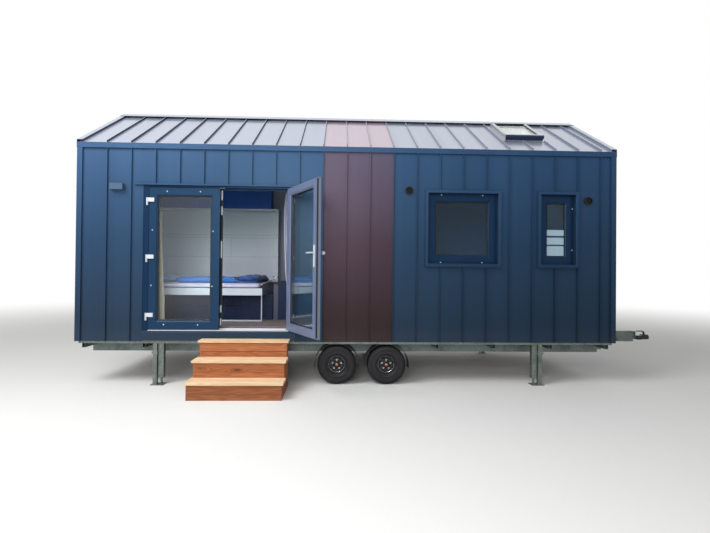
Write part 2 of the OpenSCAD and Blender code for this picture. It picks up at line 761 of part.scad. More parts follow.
module left_fittings() placed() color("white") hinge_leaf_half(left_pin_x, 1);
module right_leaf() placed() color("#34465a") at_right_leaf() leaf_frame();
module right_glass() placed() color("#9fb0b8") at_right_leaf() leaf_pane();
// Long plates with rounded ends, the lever's spindle and the outer knob
plate_t = 8;
plate_w = 34;
plate_span = [-168, 92];
lever_r = 9;
lever_l = 122;
knob_r = 22;
module handle_plate(y) {
    r = plate_w / 2;
    block([-r, y, plate_span[0] + r], [r, y + plate_t, plate_span[1] - r]);
    for (z = [plate_span[0] + r, plate_span[1] - r])
        translate([0, y, z]) rotate([-90, 0, 0]) cylinder(h = plate_t, r = r);
}
module right_fittings() placed() color("white") {
    translate([right_pin_x, pin_y, 0]) rotate(open_angle) translate([-right_pin_x, -pin_y, 0])
        hinge_leaf_half(right_pin_x, -1);
    at_right_leaf() translate([leaf_w - handle_in, 0, handle_z - leaf_z]) {
        difference() {
            handle_plate(leaf_t);
            translate([0, leaf_t - 1, 0]) rotate([-90, 0, 0]) cylinder(h = plate_t + 4, r = lever_r + 0.5);
        }
        handle_plate(-plate_t);
        translate([0, -plate_t, 0]) rotate([90, 0, 0]) cylinder(h = 34, r = lever_r);
        translate([0, -48, 0]) sphere(r = knob_r);
    }
}
module door_lever() placed() color("white") at_right_leaf()
    translate([leaf_w - handle_in, leaf_t, handle_z - leaf_z]) {
        grip_y = 44;
        translate([0, 0.3, 0]) rotate([-90, 0, 0]) cylinder(h = grip_y + 6, r = lever_r);
        translate([0, grip_y, 0]) rotate([0, -90, 0]) cylinder(h = lever_l, r = lever_r - 0.5);
        translate([-lever_l, grip_y, 0]) sphere(r = lever_r - 0.5);
    }

// Windows

module at_windows() {
    translate([win1_x - win1_w / 2, 0, win_z]) window_part(win1_w, $part);
    translate([win2_x - win2_w / 2, 0, win_z]) window_part(win2_w, $part);
}
module window_part(w, part) {
    y = -half_w + win_recess;
    depth = -room_y - y;
    front = -half_w - 12;
    inset = win_frame_w - 12;
    reach = win_frame_w + sash_w;
    if (part == "casing") {
        translate([-casing_w, front, -casing_w])
            mitred_frame(w + 2 * casing_w, win_h + 2 * casing_w, -core_y - front, casing_w + 4)
            casing_2d(-core_y - front, y - front);
        along_x(-casing_w - 6, w + casing_w + 6) translate([front, -casing_w]) sill_2d();
    }
    if (part == "frame") translate([0, y, 0]) mitred_frame(w, win_h, depth, win_frame_w) polygon([
        [0, 0], [win_frame_w, 0], [win_frame_w, depth], [0, depth]
    ]);
    if (part == "sash") translate([inset, y - 8, inset])
        mitred_frame(w - 2 * inset, win_h - 2 * inset, depth, reach - inset) sash_2d(depth, reach - inset);
    if (part == "glass") block([reach + 0.3, y + 10, reach + 0.3],
                               [w - reach - 0.3, y + 10 + glass_t, win_h - reach - 0.3]);
}
// Section of the casing: a sloping face, and the reveal that lines the wall's hole
module casing_2d(depth, reveal) {
    polygon([
        [0, 14], [6, 0], [casing_w, 0], [casing_w + 4, 2], [casing_w + 4, reveal],
        [casing_w, reveal], [casing_w, depth], [0, depth]
    ]);
}
module sill_2d() { polygon([[6, 0], [-16, -2], [-16, 6], [-12, 8], [6, 14]]); }
// Section of a sash: it laps over the frame in front, with a sloping bead at the glass
module sash_2d(depth, reach) {
    polygon([
        [0, 0], [reach - 12, 0], [reach - 10, 6], [reach, 12], [reach, depth - 2], [reach - 16, depth + 4],
        [12, depth + 4], [12, 8], [0, 8]
    ]);
}
module window_casings() placed() color("#3d4c5c") at_windows($part = "casing");
module window_frames() placed() color("#3a4a5a") at_windows($part = "frame");
module window_sashes() placed() color("#3a4a5a") at_windows($part = "sash");
module window_glass() placed() color("#a9b6bc") at_windows($part = "glass");

// Roof window, in slope coordinates

sky_flange = 60;
sky_rim = 40;
sky_hood = 74;
// Section of a side cover across the slope, and of the hood down the slope
module sky_cover_2d() {
    polygon([
        [-4, sky_h - 26], [-4, sky_h], [4, sky_h + 8], [sky_rim, sky_h + 8], [sky_rim, sky_h - 26]
    ]);
}
module skylight_frame() placed() color("#33383d") on_front_slope() {
    x0 = sky_x - sky_w / 2;
    x1 = sky_x + sky_w / 2;
    s1 = sky_s + sky_l;
    difference() {
        union() {
            block([x0, -sheet_t, sky_s], [x1, sky_h, s1]);
            block([x0 - sky_flange, -sheet_t, sky_s - sky_flange], [x1 + sky_flange, 4, s1 + sky_flange]);
            translate([0, 0, sky_s - 4]) linear_extrude(sky_l + 4) {
                translate([x0, 0]) sky_cover_2d();
                translate([x1, 0]) mirror([1, 0]) sky_cover_2d();
            }
            // The hood over the lower end, and the cover over the upper end
            translate([x0 - 6, 0, 0]) rotate([0, 90, 0]) mirror([1, 0, 0]) linear_extrude(sky_w + 12)
                polygon([
                    [s1 - sky_hood, sky_h - 20], [s1 - sky_hood, sky_h + 12], [s1 - 16, sky_h + 16],
                    [s1 + 2, sky_h + 8], [s1 + 8, sky_h - 6], [s1 + 8, sky_h - 30], [s1, sky_h - 30]
                ]);
            block([x0 - 4, sky_h - 26, sky_s - 6], [x1 + 4, sky_h + 10, sky_s + sky_rim]);
        }
        block([x0 + sky_rim, -sheet_t - 1, sky_s + sky_rim], [x1 - sky_rim, sky_h + 30, s1 - sky_hood]);
    }
}
module skylight_glass() placed() color("#c9d2d6") on_front_slope()
    block([sky_x - sky_w / 2 + sky_rim + 0.3, sky_h - 34, sky_s + sky_rim + 0.3],
          [sky_x + sky_w / 2 - sky_rim - 0.3, sky_h - 10, sky_s + sky_l - sky_hood - 0.3]);

vent_places = [[769, 2613], [3223, 2510]];
vent_r = 57;
vent_bore = 48;
module vents() placed() color("#17191c") for (v = vent_places)
    translate([v[0], -pan_y, v[1]]) rotate([90, 0, 0]) {
        difference() {
            cylinder(h = 22, r = vent_r);
            translate([0, 0, 5]) cylinder(h = 20, r = vent_bore);
        }
        // Louvre blades, cut to the bore
        intersection() {
            cylinder(h = 19, r = vent_bore + 1);
            for (y = [-32:16:48]) translate([-60, y, 3]) rotate([128, 0, 0]) cube([120, 17, 2]);
        }
    }
// The lamp throws its light up and down: a housing with a pocket at both ends
lamp_place = [-3078, 2603];
lamp_size = [170, 70, 80];
module wall_lamp() placed() color("#22272e") {
    w = lamp_size[0] / 2;
    h = lamp_size[2] / 2;
    translate([lamp_place[0], -pan_y, lamp_place[1]]) {
        difference() {
            translate([0, 0, -h]) linear_extrude(2 * h) polygon([
                [-w, 0], [-w, 4 - lamp_size[1]], [4 - w, -lamp_size[1]], [w - 4, -lamp_size[1]],
                [w, 4 - lamp_size[1]], [w, 0]
            ]);
            for (z = [-h - 1, h - 14]) block([5 - w, 5 - lamp_size[1], z], [w - 5, -12, z + 15]);
        }
        block([-w - 5, -7, -h - 5], [w + 5, 0, h + 5]);
    }
}

// Steps, standing on the ground against the sill flashing

step_back = -half_w - trim_proud;
step_front = step_back - 187;
board_gap = 4;
riser_t = 28;
riser_share = 0.62;
groove_pitch = 17;
// Section of a tread board with its upper edges eased, and of a riser board with its grooves
module tread_2d(w) {
    t = tread_t;
    polygon([[0, 0], [w, 0], [w, t - 3], [w - 3, t], [3, t], [0, t - 3]]);
}
module riser_2d(h) {
    difference() {
        square([riser_t, h]);
        for (z = [groove_pitch:groove_pitch:h - groove_pitch / 2]) translate([-1, z - 2]) square([3, 4]);
    }
}
module step_treads() placed() color("#ecd2a4") for (i = [0:2]) {
    front = step_front - i * step_going;
    back = i == 0 ? step_back : front + step_going + nosing;
    w = (back - front - board_gap) / 2;
    for (k = [0, 1]) along_x(step_x, step_x + step_l)
        translate([front + k * (w + board_gap), (3 - i) * step_rise - tread_t]) tread_2d(w);
}
module step_risers() placed() color("#b87a48") for (i = [0:2]) {
    y = step_front - i * step_going + nosing;
    z0 = i == 2 ? 0 : (2 - i) * step_rise;
    z1 = (3 - i) * step_rise - tread_t;
    low_h = (z1 - z0 - board_gap) * (1 - riser_share);
    along_x(step_x + nosing, step_x + step_l - nosing) {
        translate([y, z0]) riser_2d(low_h);
        translate([y, z0 + low_h + board_gap]) riser_2d(z1 - z0 - low_h - board_gap);
    }
}
module step_sides() placed() color("#b87a48")
    for (x = [step_x + nosing, step_x + step_l - nosing - riser_t]) along_x(x, x + riser_t) {
        y = step_front + nosing + riser_t;
        polygon([
            [y - 2 * step_going, 0], [step_back, 0], [step_back, 3 * step_rise - tread_t],
            [y, 3 * step_rise - tread_t], [y, 2 * step_rise - tread_t],
            [y - step_going, 2 * step_rise - tread_t], [y - step_going, step_rise - tread_t],
            [y - 2 * step_going, step_rise - tread_t]
        ]);
    }

// Wall bed, folded down from its unit on the rear wall, and the cabinets round it

bed_x1 = bed_x + bed_l;
bed_y1 = bed_y + bed_w;
bed_top = bed_z + bed_rail_h;
bed_rail_t = 25;
slat_count = 13;
slat_w = 60;
leg_rod = 9;
leg_span = 1428;
mattress_z = bed_top + 74;
module bed_frame() placed() color("white") {
    inner = bed_rail_t - 1;
    leg_y1 = bed_y + 60;
    leg_x1 = bed_x1 - 17;
    leg_x0 = leg_x1 - leg_span;
    t = bed_rail_t;
    end_rail_h = 25;
    difference() {
        block([bed_x, bed_y, bed_z], [bed_x1, bed_y1, bed_top]);
        block([bed_x + t, bed_y + t, bed_z - 1], [bed_x1 - t, bed_y1 - t, bed_top + 1]);
        block([bed_x1 - t - 1, bed_y + t, bed_z + end_rail_h], [bed_x1 + 1, bed_y1 - t, bed_top + 1]);
    }
    for (i = [0:slat_count - 1]) {
        x = bed_x + 60 + i * (bed_l - 120 - slat_w) / (slat_count - 1);
        block([x, bed_y + inner, bed_top - 20], [x + slat_w, bed_y1 - inner, bed_top]);
    }
    // The folding leg: a rod bent to a U below its cross bar
    block([bed_x + inner, leg_y1 - 10, bed_z + 30], [bed_x1 - inner, leg_y1 + 10, bed_top - 19]);
    for (x = [leg_x0, leg_x1]) {
        translate([x, leg_y1, floor_z + leg_rod]) cylinder(h = bed_z + 31 - floor_z - leg_rod, r = leg_rod);
        translate([x, leg_y1, floor_z + leg_rod]) sphere(r = leg_rod);
    }
    translate([leg_x0, leg_y1, floor_z + leg_rod]) rotate([0, 90, 0]) cylinder(h = leg_span, r = leg_rod);
}
module mattress() placed() color("#c9ccd0")
    block([bed_x + 30, bed_y + 8, bed_top + 0.3], [bed_x1 - 30, bed_y1 - 10, mattress_z]);
module bedding() placed() color("#2f6fc0")
    block([bed_x + 120, bed_y + 40, mattress_z + 0.3], [bed_x1 - 60, bed_y1 - 120, mattress_z + 110]);

unit_x0 = bed_x - 40;
unit_x1 = bed_x1 + 32;
unit_y = bed_y1 + 10;
unit_top = 2618;
unit_board = 36;
// Joints in the unit's back board, and where its upright joints stand
unit_joints = [1765, 2115, 2166];
unit_uprights = [-2147, -1376];
base_x1 = -1180;
base_y = -290;
pier_x = [-1167, -1098];
pier_top = 1306;
box_x1 = -800;
box_top = 1350;
cabinet_back = 300;
module bed_unit() placed() color("#c4c8cc") {
    back_y = room_y - 30;
    for (x = [unit_x0, unit_x1 - unit_board]) block([x, unit_y, bed_z], [x + unit_board, room_y, unit_top]);
    block([unit_x0, unit_y, unit_top - 30], [unit_x1, room_y, unit_top]);
    difference() {
        block([unit_x0, back_y, bed_z], [unit_x1, room_y, unit_top]);
        for (z = unit_joints)
            block([unit_x0, back_y - 1, z - groove_w], [unit_x1, back_y + groove_w, z + groove_w]);
        for (x = unit_uprights)
            block([x - groove_w, back_y - 1, unit_joints[0]],
                  [x + groove_w, back_y + groove_w, unit_joints[1]]);
    }
    block([pier_x[0], base_y, floor_z], [pier_x[1], cabinet_back, pier_top]);
}
// Gaps between doors and drawers on a cabinet's front
module door_gaps(x0, x1, z0, z1, y, uprights, levels) {
    for (x = uprights) block([x - groove_w / 2, y - 1, z0], [x + groove_w / 2, y + 18, z1]);
    for (z = levels) block([x0, y - 1, z - groove_w / 2], [x1, y + 18, z + groove_w / 2]);
}
module cabinets() placed() color("#232a33") {
    difference() {
        block([unit_x0, base_y, floor_z], [base_x1, room_y, bed_z - 0.3]);
        door_gaps(unit_x0, base_x1, floor_z, bed_z, base_y, [-2680, -1930], [975]);
    }
    difference() {
        block([unit_x0, unit_y, unit_top + 0.3], [-1391, room_y, 3000]);
        door_gaps(unit_x0, -1391, unit_top, 3001, unit_y, [-2700, -2006], []);
    }
    difference() {
        block([pier_x[1] + 1, base_y, floor_z], [box_x1, cabinet_back, box_top]);
        door_gaps(pier_x[1], box_x1, floor_z, box_top, base_y, [], [1040]);
    }
}

chassis_frame();
drawbar();
coupling_head();
axles();
mudguards();
corner_legs();
floor();
front_wall_left();
front_wall_right();
front_wall_over_door();
rear_wall();
gable_walls();
roof_deck_front();
roof_deck_rear();
wall_cladding();
wall_band();
gable_cladding();
roof_sheets();
roof_band();
ridge_cap();
eave_flashings();
verge_trims();
corner_trims();
door_frame();
door_flashing();
threshold();
frame_hinges();
window_casings();
window_frames();
window_sashes();
window_glass();
skylight_frame();
skylight_glass();
vents();
wall_lamp();
step_treads();
step_risers();
step_sides();
bed_frame();
mattress();
bedding();
bed_unit();
cabinets();
left_leaf();
left_glass();
left_fittings();
right_leaf();
right_glass();
right_fittings();
door_lever();
placed() wheel_place(0, -1) tyre();  // tyre_front_left
placed() wheel_place(0, -1) rim();  // rim_front_left
placed() wheel_place(1, -1) tyre();  // tyre_front_right
placed() wheel_place(1, -1) rim();  // rim_front_right
placed() wheel_place(0, 1) tyre();  // tyre_rear_left
placed() wheel_place(0, 1) rim();  // rim_rear_left
placed() wheel_place(1, 1) tyre();  // tyre_rear_right
placed() wheel_place(1, 1) rim();  // rim_rear_right
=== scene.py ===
import json
import math

import bmesh
import bpy
import numpy as np
from mathutils import Matrix, Vector


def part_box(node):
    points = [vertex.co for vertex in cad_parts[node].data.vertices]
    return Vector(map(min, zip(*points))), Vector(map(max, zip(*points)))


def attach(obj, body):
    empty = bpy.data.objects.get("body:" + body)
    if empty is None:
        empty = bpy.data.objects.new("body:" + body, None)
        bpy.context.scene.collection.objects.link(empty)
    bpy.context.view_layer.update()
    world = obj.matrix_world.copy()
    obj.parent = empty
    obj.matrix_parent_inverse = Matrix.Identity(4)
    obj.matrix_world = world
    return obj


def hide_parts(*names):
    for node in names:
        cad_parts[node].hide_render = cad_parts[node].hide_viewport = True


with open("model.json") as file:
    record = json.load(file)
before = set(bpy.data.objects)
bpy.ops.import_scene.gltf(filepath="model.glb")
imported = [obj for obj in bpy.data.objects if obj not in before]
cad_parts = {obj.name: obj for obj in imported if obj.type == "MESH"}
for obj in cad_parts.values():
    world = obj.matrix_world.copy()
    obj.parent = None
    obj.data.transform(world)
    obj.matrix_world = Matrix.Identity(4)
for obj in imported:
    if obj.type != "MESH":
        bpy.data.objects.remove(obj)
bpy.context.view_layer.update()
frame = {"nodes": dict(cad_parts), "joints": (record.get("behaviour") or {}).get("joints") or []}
nodes = frame["nodes"]
print("frame loaded:", len(nodes), "nodes")

# Places and meshes


def rawBox(node):
    low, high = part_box(node)
    return np.array([list(low), list(high)])


houseMid = np.append(rawBox("floor").mean(0)[:2], 0)


def mmBox(node):
    # lowest and highest corner of a node at rest, in millimetres about the middle of the body
    return (rawBox(node) - houseMid) * 1000


def gridFaces(rows, columns, wrapRows=False, wrapColumns=False):
    # point (i, j) of the grid has the number i * columns + j; a face joins (i, j) to (i + 1, j + 1)
    i, j = np.meshgrid(np.arange(rows - (not wrapRows)), np.arange(columns - (not wrapColumns)), indexing="ij")
    nextI, nextJ = (i + 1) % rows, (j + 1) % columns
    corners = [i * columns + j, nextI * columns + j, nextI * columns + nextJ, i * columns + nextJ]
    return np.stack(corners, -1).reshape(-1, 4)


# axes for a shape that is drawn lying, with its height along z
level = ((1, 0, 0), (0, 1, 0), (0, 0, 1))
outward = ((1, 0, 0), (0, 0, 1), (0, -1, 0))  # stood up, its height towards the front or a leaf's outer side
inward = ((1, 0, 0), (0, 0, 1), (0, 1, 0))  # stood up, its height into the room
sideways = ((0, 1, 0), (0, 0, 1), (1, 0, 0))  # its height away from a leaf's hinge edge


def copies(shape, origins, axes=level):
    # point p of copy k lies at origin k + p.x * first axis + p.y * second axis + p.z * third axis
    points, faces = shape
    origins = np.atleast_2d(np.asarray(origins, float))
    axes = np.broadcast_to(np.asarray(axes, float), (len(origins), 3, 3))
    spread = origins[:, None] + np.einsum("pi,kij->kpj", points, axes)
    shift = np.arange(len(origins))[:, None, None] * len(points)
    return spread.reshape(-1, 3), (faces[None] + shift).reshape(-1, 4)


def joined(*shapes):
    # several shapes as one
    starts = np.cumsum([0] + [len(points) for points, faces in shapes])
    points = np.concatenate([points for points, faces in shapes])
    return points, np.concatenate([faces + start for (_, faces), start in zip(shapes, starts)])


def ringStack(outlines, heights):
    # closed outlines one above another, the first and the last shut by their middle points
    outlines = np.asarray(outlines, float)
    ends = [np.broadcast_to(outlines[k].mean(0), outlines[k].shape)[None] for k in (0, -1)]
    flat = np.concatenate([ends[0], outlines, ends[1]])
    rise = np.asarray([heights[0], *heights, heights[-1]], float)
    rise = np.broadcast_to(rise[:, None, None], (*flat.shape[:2], 1))
    return np.concatenate([flat, rise], 2).reshape(-1, 3), gridFaces(*flat.shape[:2], wrapColumns=True)


def roundedRect(width, height, radius, steps=3):
    # corner centre + radius * (cos a, sin a), a quarter turn at each corner
    a = np.linspace(0, math.pi / 2, steps)[None] + np.arange(4)[:, None] * math.pi / 2
    centre = np.array([[1, 1], [-1, 1], [-1, -1], [1, -1]]) * (width / 2 - radius, height / 2 - radius)
    return (centre[:, None] + radius * np.stack([np.cos(a), np.sin(a)], -1)).reshape(-1, 2)


def slab(width, height, thickness, bevel, radius):
    # rounded rectangles at four heights, the lowest and the highest drawn in by the bevel
    outer = roundedRect(width, height, radius)
    inner = roundedRect(width - 2 * bevel, height - 2 * bevel, max(radius - bevel, 0.2))
    return ringStack([inner, outer, outer, inner], [0, bevel, thickness - bevel, thickness])


def turned(profile, sides):
    # a profile of (radius, height) carried round: (r cos a, r sin a, h)
    r, h = np.asarray(profile, float).T
    a = np.linspace(0, 2 * math.pi, sides, endpoint=False)
    points = np.stack([np.outer(r, np.cos(a)), np.outer(r, np.sin(a)), np.repeat(h[:, None], sides, 1)], -1)
    return points.reshape(-1, 3), gridFaces(len(r), sides, wrapColumns=True)


def mitredRing(width, height, profile):
    # a profile of (way in from the edge, depth) carried round an upright rectangle:
    # corner (sx, sz) lies at (sx (w/2 - way), depth, sz (h/2 - way))
    way, depth = np.asarray(profile, float).T
    signs = np.array([[-1, -1], [1, -1], [1, 1], [-1, 1]])
    x = signs[:, :1] * (width / 2 - way)
    z = signs[:, 1:] * (height / 2 - way)
    points = np.stack([x, np.broadcast_to(depth, x.shape), z], -1)
    return points.reshape(-1, 3), gridFaces(4, len(way), True, True)


def tube(path, radius, sides, loop=False, lean=(0, 0, 1)):
    # a circle carried along a path: path point + radius (cos a * side + sin a * up)
    path = np.asarray(path, float)
    around = np.concatenate([path[-1:], path, path[:1]]) if loop else path
    ahead = np.gradient(around, axis=0)[1:-1] if loop else np.gradient(around, axis=0)
    ahead /= np.linalg.norm(ahead, axis=1)[:, None]
    side = np.cross(ahead, np.asarray(lean, float))
    side /= np.linalg.norm(side, axis=1)[:, None]
    up = np.cross(side, ahead)
    a = np.linspace(0, 2 * math.pi, sides, endpoint=False)[None, :, None]
    rings = path[:, None] + radius * (np.cos(a) * side[:, None] + np.sin(a) * up[:, None])
    if not loop:
        ends = [np.broadcast_to(path[k], rings[k].shape)[None] for k in (0, -1)]
        rings = np.concatenate([ends[0], rings, ends[1]])
    return rings.reshape(-1, 3), gridFaces(*rings.shape[:2], wrapRows=loop, wrapColumns=True)


def meshOf(name, shape, finish):
    # a mesh in metres of the shared frame
    points, faces = shape
    mesh = bpy.data.meshes.new(name)
    mesh.from_pydata((np.asarray(points) / 1000 + houseMid).tolist(), [], np.asarray(faces).tolist())
    mesh.materials.append(finish)
    return mesh


def placed(name, data):
    # a new object in the scene
    thing = bpy.data.objects.new(name, data)
    bpy.context.scene.collection.objects.link(thing)
    return thing


def makePiece(name, shape, finish, body="root", smooth=40, instead=()):
    # a closed mesh; doubles are merged and its faces turned outwards, edges over the smooth angle stay sharp
    mesh = meshOf(name, shape, finish)
    work = bmesh.new()
    work.from_mesh(mesh)
    bmesh.ops.remove_doubles(work, verts=work.verts, dist=2e-6)
    bmesh.ops.recalc_face_normals(work, faces=work.faces)
    work.to_mesh(mesh)
    work.free()
    piece = placed(name, mesh)
    if smooth:
        mesh.shade_smooth()
        mesh.set_sharp_from_angle(angle=math.radians(smooth))
    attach(piece, body)
    if instead:
        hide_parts(*instead)
    return piece


# Materials: Python's signs on a wire add Math nodes


def sign(operation, swapped=False):
    # a Math node of the wire and what stands beside it, in the other order when swapped
    def act(wire, *others):
        values = (*others, wire) if swapped else (wire, *others)
        return wire.finish.add("Math", enumerate(values), operation=operation)

    return act


class Wire:
    # one output of a node

    def __init__(self, finish, socket):
        self.finish = finish
        self.socket = socket

    def __getitem__(self, name):
        return Wire(self.finish, self.socket.node.outputs[name])

    __add__ = sign("ADD")
    __radd__ = sign("ADD", True)
    __sub__ = sign("SUBTRACT")
    __rsub__ = sign("SUBTRACT", True)
    __mul__ = sign("MULTIPLY")
    __rmul__ = sign("MULTIPLY", True)
    __truediv__ = sign("DIVIDE")
    __gt__ = sign("GREATER_THAN")
    __lt__ = sign("LESS_THAN")
    __abs__ = sign("ABSOLUTE")
    whole = sign("FLOOR")
    part = sign("FRACT")
    sine = sign("SINE")
    root = sign("SQRT")
    larger = sign("MAXIMUM")
    smaller = sign("MINIMUM")


class Finish:
    # a material, or the world, and the nodes in it

    def __init__(self, name, owner=None):
        self.owner = owner or bpy.data.materials.new(name)
        self.owner.use_nodes = True
        self.tree = self.owner.node_tree
        self.tree.nodes.clear()

    def add(self, kind, sockets=(), **settings):
        # a node with its settings, its sockets given by name, identifier or number
        node = self.tree.nodes.new("ShaderNode" + kind)
        for key, value in settings.items():
            setattr(node, key, value)
        for key, value in dict(sockets).items():
            if isinstance(key, int):
                socket = node.inputs[key]
            else:
                socket = next(s for s in node.inputs if key in (s.identifier, s.name))
            if isinstance(value, Wire):
                self.tree.links.new(value.socket, socket)
            elif socket.type == "RGBA" and len(value) == 3:
                socket.default_value = (*value, 1)
            else:
                socket.default_value = value
        outputs = [s for s in node.outputs if s.enabled] or [None]
        return Wire(self, outputs[0])

    def place(self):
        # the surface's place in metres
        return self.add("TexCoord")["Object"]

    def split(self, vector):
        parts = self.add("SeparateXYZ", {0: vector})
        return parts["X"], parts["Y"], parts["Z"]

    def axes(self):
        return self.split(self.place())

    def facing(self):
        # the surface's normal
        return self.split(self.add("NewGeometry")["Normal"])

    def pattern(self, kind, scale, shift, **sockets):
        # a texture over the surface's place; the scale is one number or one for each axis, and the shift moves it
        axes, size = (scale, 1.0) if isinstance(scale, tuple) else ((1, 1, 1), scale)
        where = self.add("Mapping", {"Vector": self.place(), "Scale": axes})
        if shift:
            where = self.add("VectorMath", {0: where, 1: shift}, operation="ADD")
        return self.add(kind, {"Vector": where, "Scale": size, **sockets})

    def noise(self, scale, detail, shift=None):
        return self.pattern("TexNoise", scale, shift, Detail=detail)

    def cells(self, scale, shift=None):
        return self.pattern("TexVoronoi", scale, shift)

    def mix(self, factor, a, b, mode="MIX"):
        sockets = {"Factor_Float": factor, "A_Color": a, "B_Color": b}
        made = self.add("Mix", sockets, data_type="RGBA", blend_type=mode)
        return Wire(self, next(s for s in made.socket.node.outputs if s.identifier == "Result_Color"))

    def times(self, a, b, factor=1.0):
        return self.mix(factor, a, b, "MULTIPLY")

    def spread(self, part, tone, low, high):
        # from the tone times low to the tone times high
        return self.mix(part, shade(tone, low), shade(tone, high))

    def step(self, value, low, high):
        # rises smoothly from 0 at low to 1 at high
        sockets = {"Value": value, "From Min": low, "From Max": high}
        return self.add("MapRange", sockets, interpolation_type="SMOOTHSTEP")

    def ramp(self, value, stops):
        # a colour that runs evenly from stop to stop; stops are (place, colour) with rising places
        colour = stops[0][1]
        for (low, _), (high, tone) in zip(stops, stops[1:]):
            part = self.add("MapRange", {"Value": value, "From Min": low, "From Max": high})
            colour = self.mix(part, colour, tone)
        return colour

    def chance(self, value):
        # an even random number for each whole number
        return self.add("TexWhiteNoise", {"W": value.whole()}, noise_dimensions="1D")

    def bump(self, height):
        # height in metres
        return self.add("Bump", {"Height": height, "Distance": 1.0, "Strength": 1.0})

    def surface(self, **sockets):
        names = {key.replace("_", " "): value for key, value in sockets.items()}
        shader = self.add("BsdfPrincipled", names)
        self.add("OutputMaterial", {"Surface": shader})
        return self.owner


def seen(red, green, blue):
    # a colour as a screen shows it, 0 to 255, in the linear values that shaders use
    part = np.array([red, green, blue]) / 255
    return tuple(float(v) for v in np.where(part < 0.04045, part / 12.92, ((part + 0.055) / 1.055) ** 2.4))


def shade(tone, factor):
    return tuple(min(1.0, v * factor) for v in tone)


# Door leaves: u runs from the hinge edge, v from the outer face into the room, w up from the lower edge

hinges = {joint["name"]: joint for joint in frame["joints"]}


def hingePin(name):
    return (np.array(hinges[name]["pos_m"]) - houseMid) * 1000


def leafPlace(side):
    # origin and axes of a leaf at rest: the right one is the left one mirrored, then turned about its pin
    origin = mmBox("left_leaf")[0]
    if side == "left":
        return origin, np.eye(3)
    leftPin, rightPin = hingePin("left_door_hinge"), hingePin("right_door_hinge")
    origin = np.array([leftPin[0] + rightPin[0] - origin[0], origin[1], origin[2]])
    turn = math.radians(-min(hinges["right_door_hinge"]["range_deg"]))
    spin = np.array([[math.cos(turn), -math.sin(turn), 0], [math.sin(turn), math.cos(turn), 0], [0, 0, 1]])
    pin = np.array([rightPin[0], rightPin[1], 0])
    return pin + spin @ (origin - pin), (spin @ np.diag([-1, 1, 1])).T


# Metal, plastic and glass

sheetLook = {
    "rough": 0.34, "specular": 0.3, "wave": 0.0011, "grain": 0.00003, "pan": 0.3147, "pale": (0.8, 0.82, 0.84),
    "along": [(-3.5, (1.32, 1.2, 1.18)), (-1.6, (1, 1, 1)), (0.2, (1, 1, 1)), (2.6, (0.68, 0.76, 0.8))],
    "dust": seen(70, 70, 68), "dusty": (0.85, 0.55),
}


def coatedSheet(name, tones, tint=(0.45, 0.72, 1.0), look=sheetLook):
    # coated sheet, paler towards the eaves by (height, tone) stops, a painted sky reflection: long soft waves, fine
    # grain, rain streaks, panels a little unlike, painted light at the left end and painted shade towards the drawbar
    # by (way, part) stops, dust low down
    f = Finish(name)
    x, y, z = f.axes()
    streaks = f.noise((14, 14, 0.5), 3.0)
    mottle = f.noise(1.7, 4.0)
    panel = f.chance(x / look["pan"])
    # the height stops paint a sky reflection, paler towards the eaves
    base = f.times(f.ramp(z, tones), look["pale"], streaks * 0.5 + panel * 0.5)
    # the along stops paint light at the left end and shade towards the drawbar
    base = f.times(base, f.ramp(x, [(float(houseMid[0]) + way, part) for way, part in look["along"]]))
    dust = f.step(z, *look["dusty"]) * mottle * 0.25
    base = f.mix(dust, base, look["dust"])
    height = f.noise((2.6, 2.6, 0.8), 1.0) * look["wave"] + f.noise(700.0, 1.0) * look["grain"]
    return f.surface(Base_Color=base, Roughness=look["rough"] + mottle * 0.08 + dust * 0.5, Normal=f.bump(height),
                     Specular_IOR_Level=look["specular"], Specular_Tint=tint)


roofLook = {"metal": 0.35, "rough": 0.3, "coatRough": 0.16, "coatIor": 1.65, "wave": 0.0014, "pan": 0.3147,
            "seamSide": 0.5, "lit": 0.45, "front": 0.8, "tint": (0.6, 0.8, 1.0)}
coverPlates = {**roofLook, "seamSide": 2.0, "front": 0.7}


def roofSheet(name, tone, dark, look=roofLook):
    # the same sheet lying under the sky: a clear coat that shines at a low angle, with water marks,
    # and painted shade: upright faces at the seams and edges take the dark colour, half as dark on the side of the
    # light
    f = Finish(name)
    marks = f.noise((7, 1.2, 1.2), 4.0)
    panel = f.chance(f.axes()[0] / look["pan"])
    base = f.mix(marks * 0.6 + panel * 0.4, tone, shade(tone, 1.3))
    x, y, z = f.facing()
    # painted shade: faces at the seams, edges and fronts take the dark colour by their facing
    side = (x > look["seamSide"]).larger((x < -look["seamSide"]) * look["lit"]).larger(y < -look["front"])
    height = f.noise((2.6, 0.9, 0.9), 1.0) * look["wave"]
    return f.surface(Base_Color=f.mix(side, base, dark), Metallic=look["metal"] * (1 - side),
                     Roughness=look["rough"] + marks * 0.15, Normal=f.bump(height), Coat_Weight=1 - side,
                     Coat_Roughness=look["coatRough"], Coat_IOR=look["coatIor"], Specular_IOR_Level=0.3,
                     Specular_Tint=look["tint"])


def coatedProfile(name, tone, rough=0.42, specular=0.4, tint=(1, 1, 1), outer=None):
    # drawn profile with a fine matt coat; the outer tone lies where the way into the leaf, v, is less than its depth
    f = Finish(name)
    mottle = f.noise(3.0, 4.0)
    base = f.spread(mottle, tone, 0.9, 1.15)
    if outer:
        origin, axes = leafPlace(outer["side"])
        x, y, z = f.axes()
        originX, originY = (float(v) for v in (origin / 1000 + houseMid)[:2])
        way = (x - originX) * float(axes[1][0]) + (y - originY) * float(axes[1][1])
        base = f.mix(way < outer["depth"], base, f.spread(mottle, outer["tone"], 0.9, 1.15))
    grain = f.noise(900.0, 2.0)
    return f.surface(Base_Color=base, Roughness=rough + mottle * 0.08, Normal=f.bump(grain * 0.00004),
                     Specular_IOR_Level=specular, Specular_Tint=tint)


zincLook = {"dull": seen(118, 125, 125), "bright": seen(156, 162, 161), "stain": seen(92, 98, 90), "upright": 0.5}


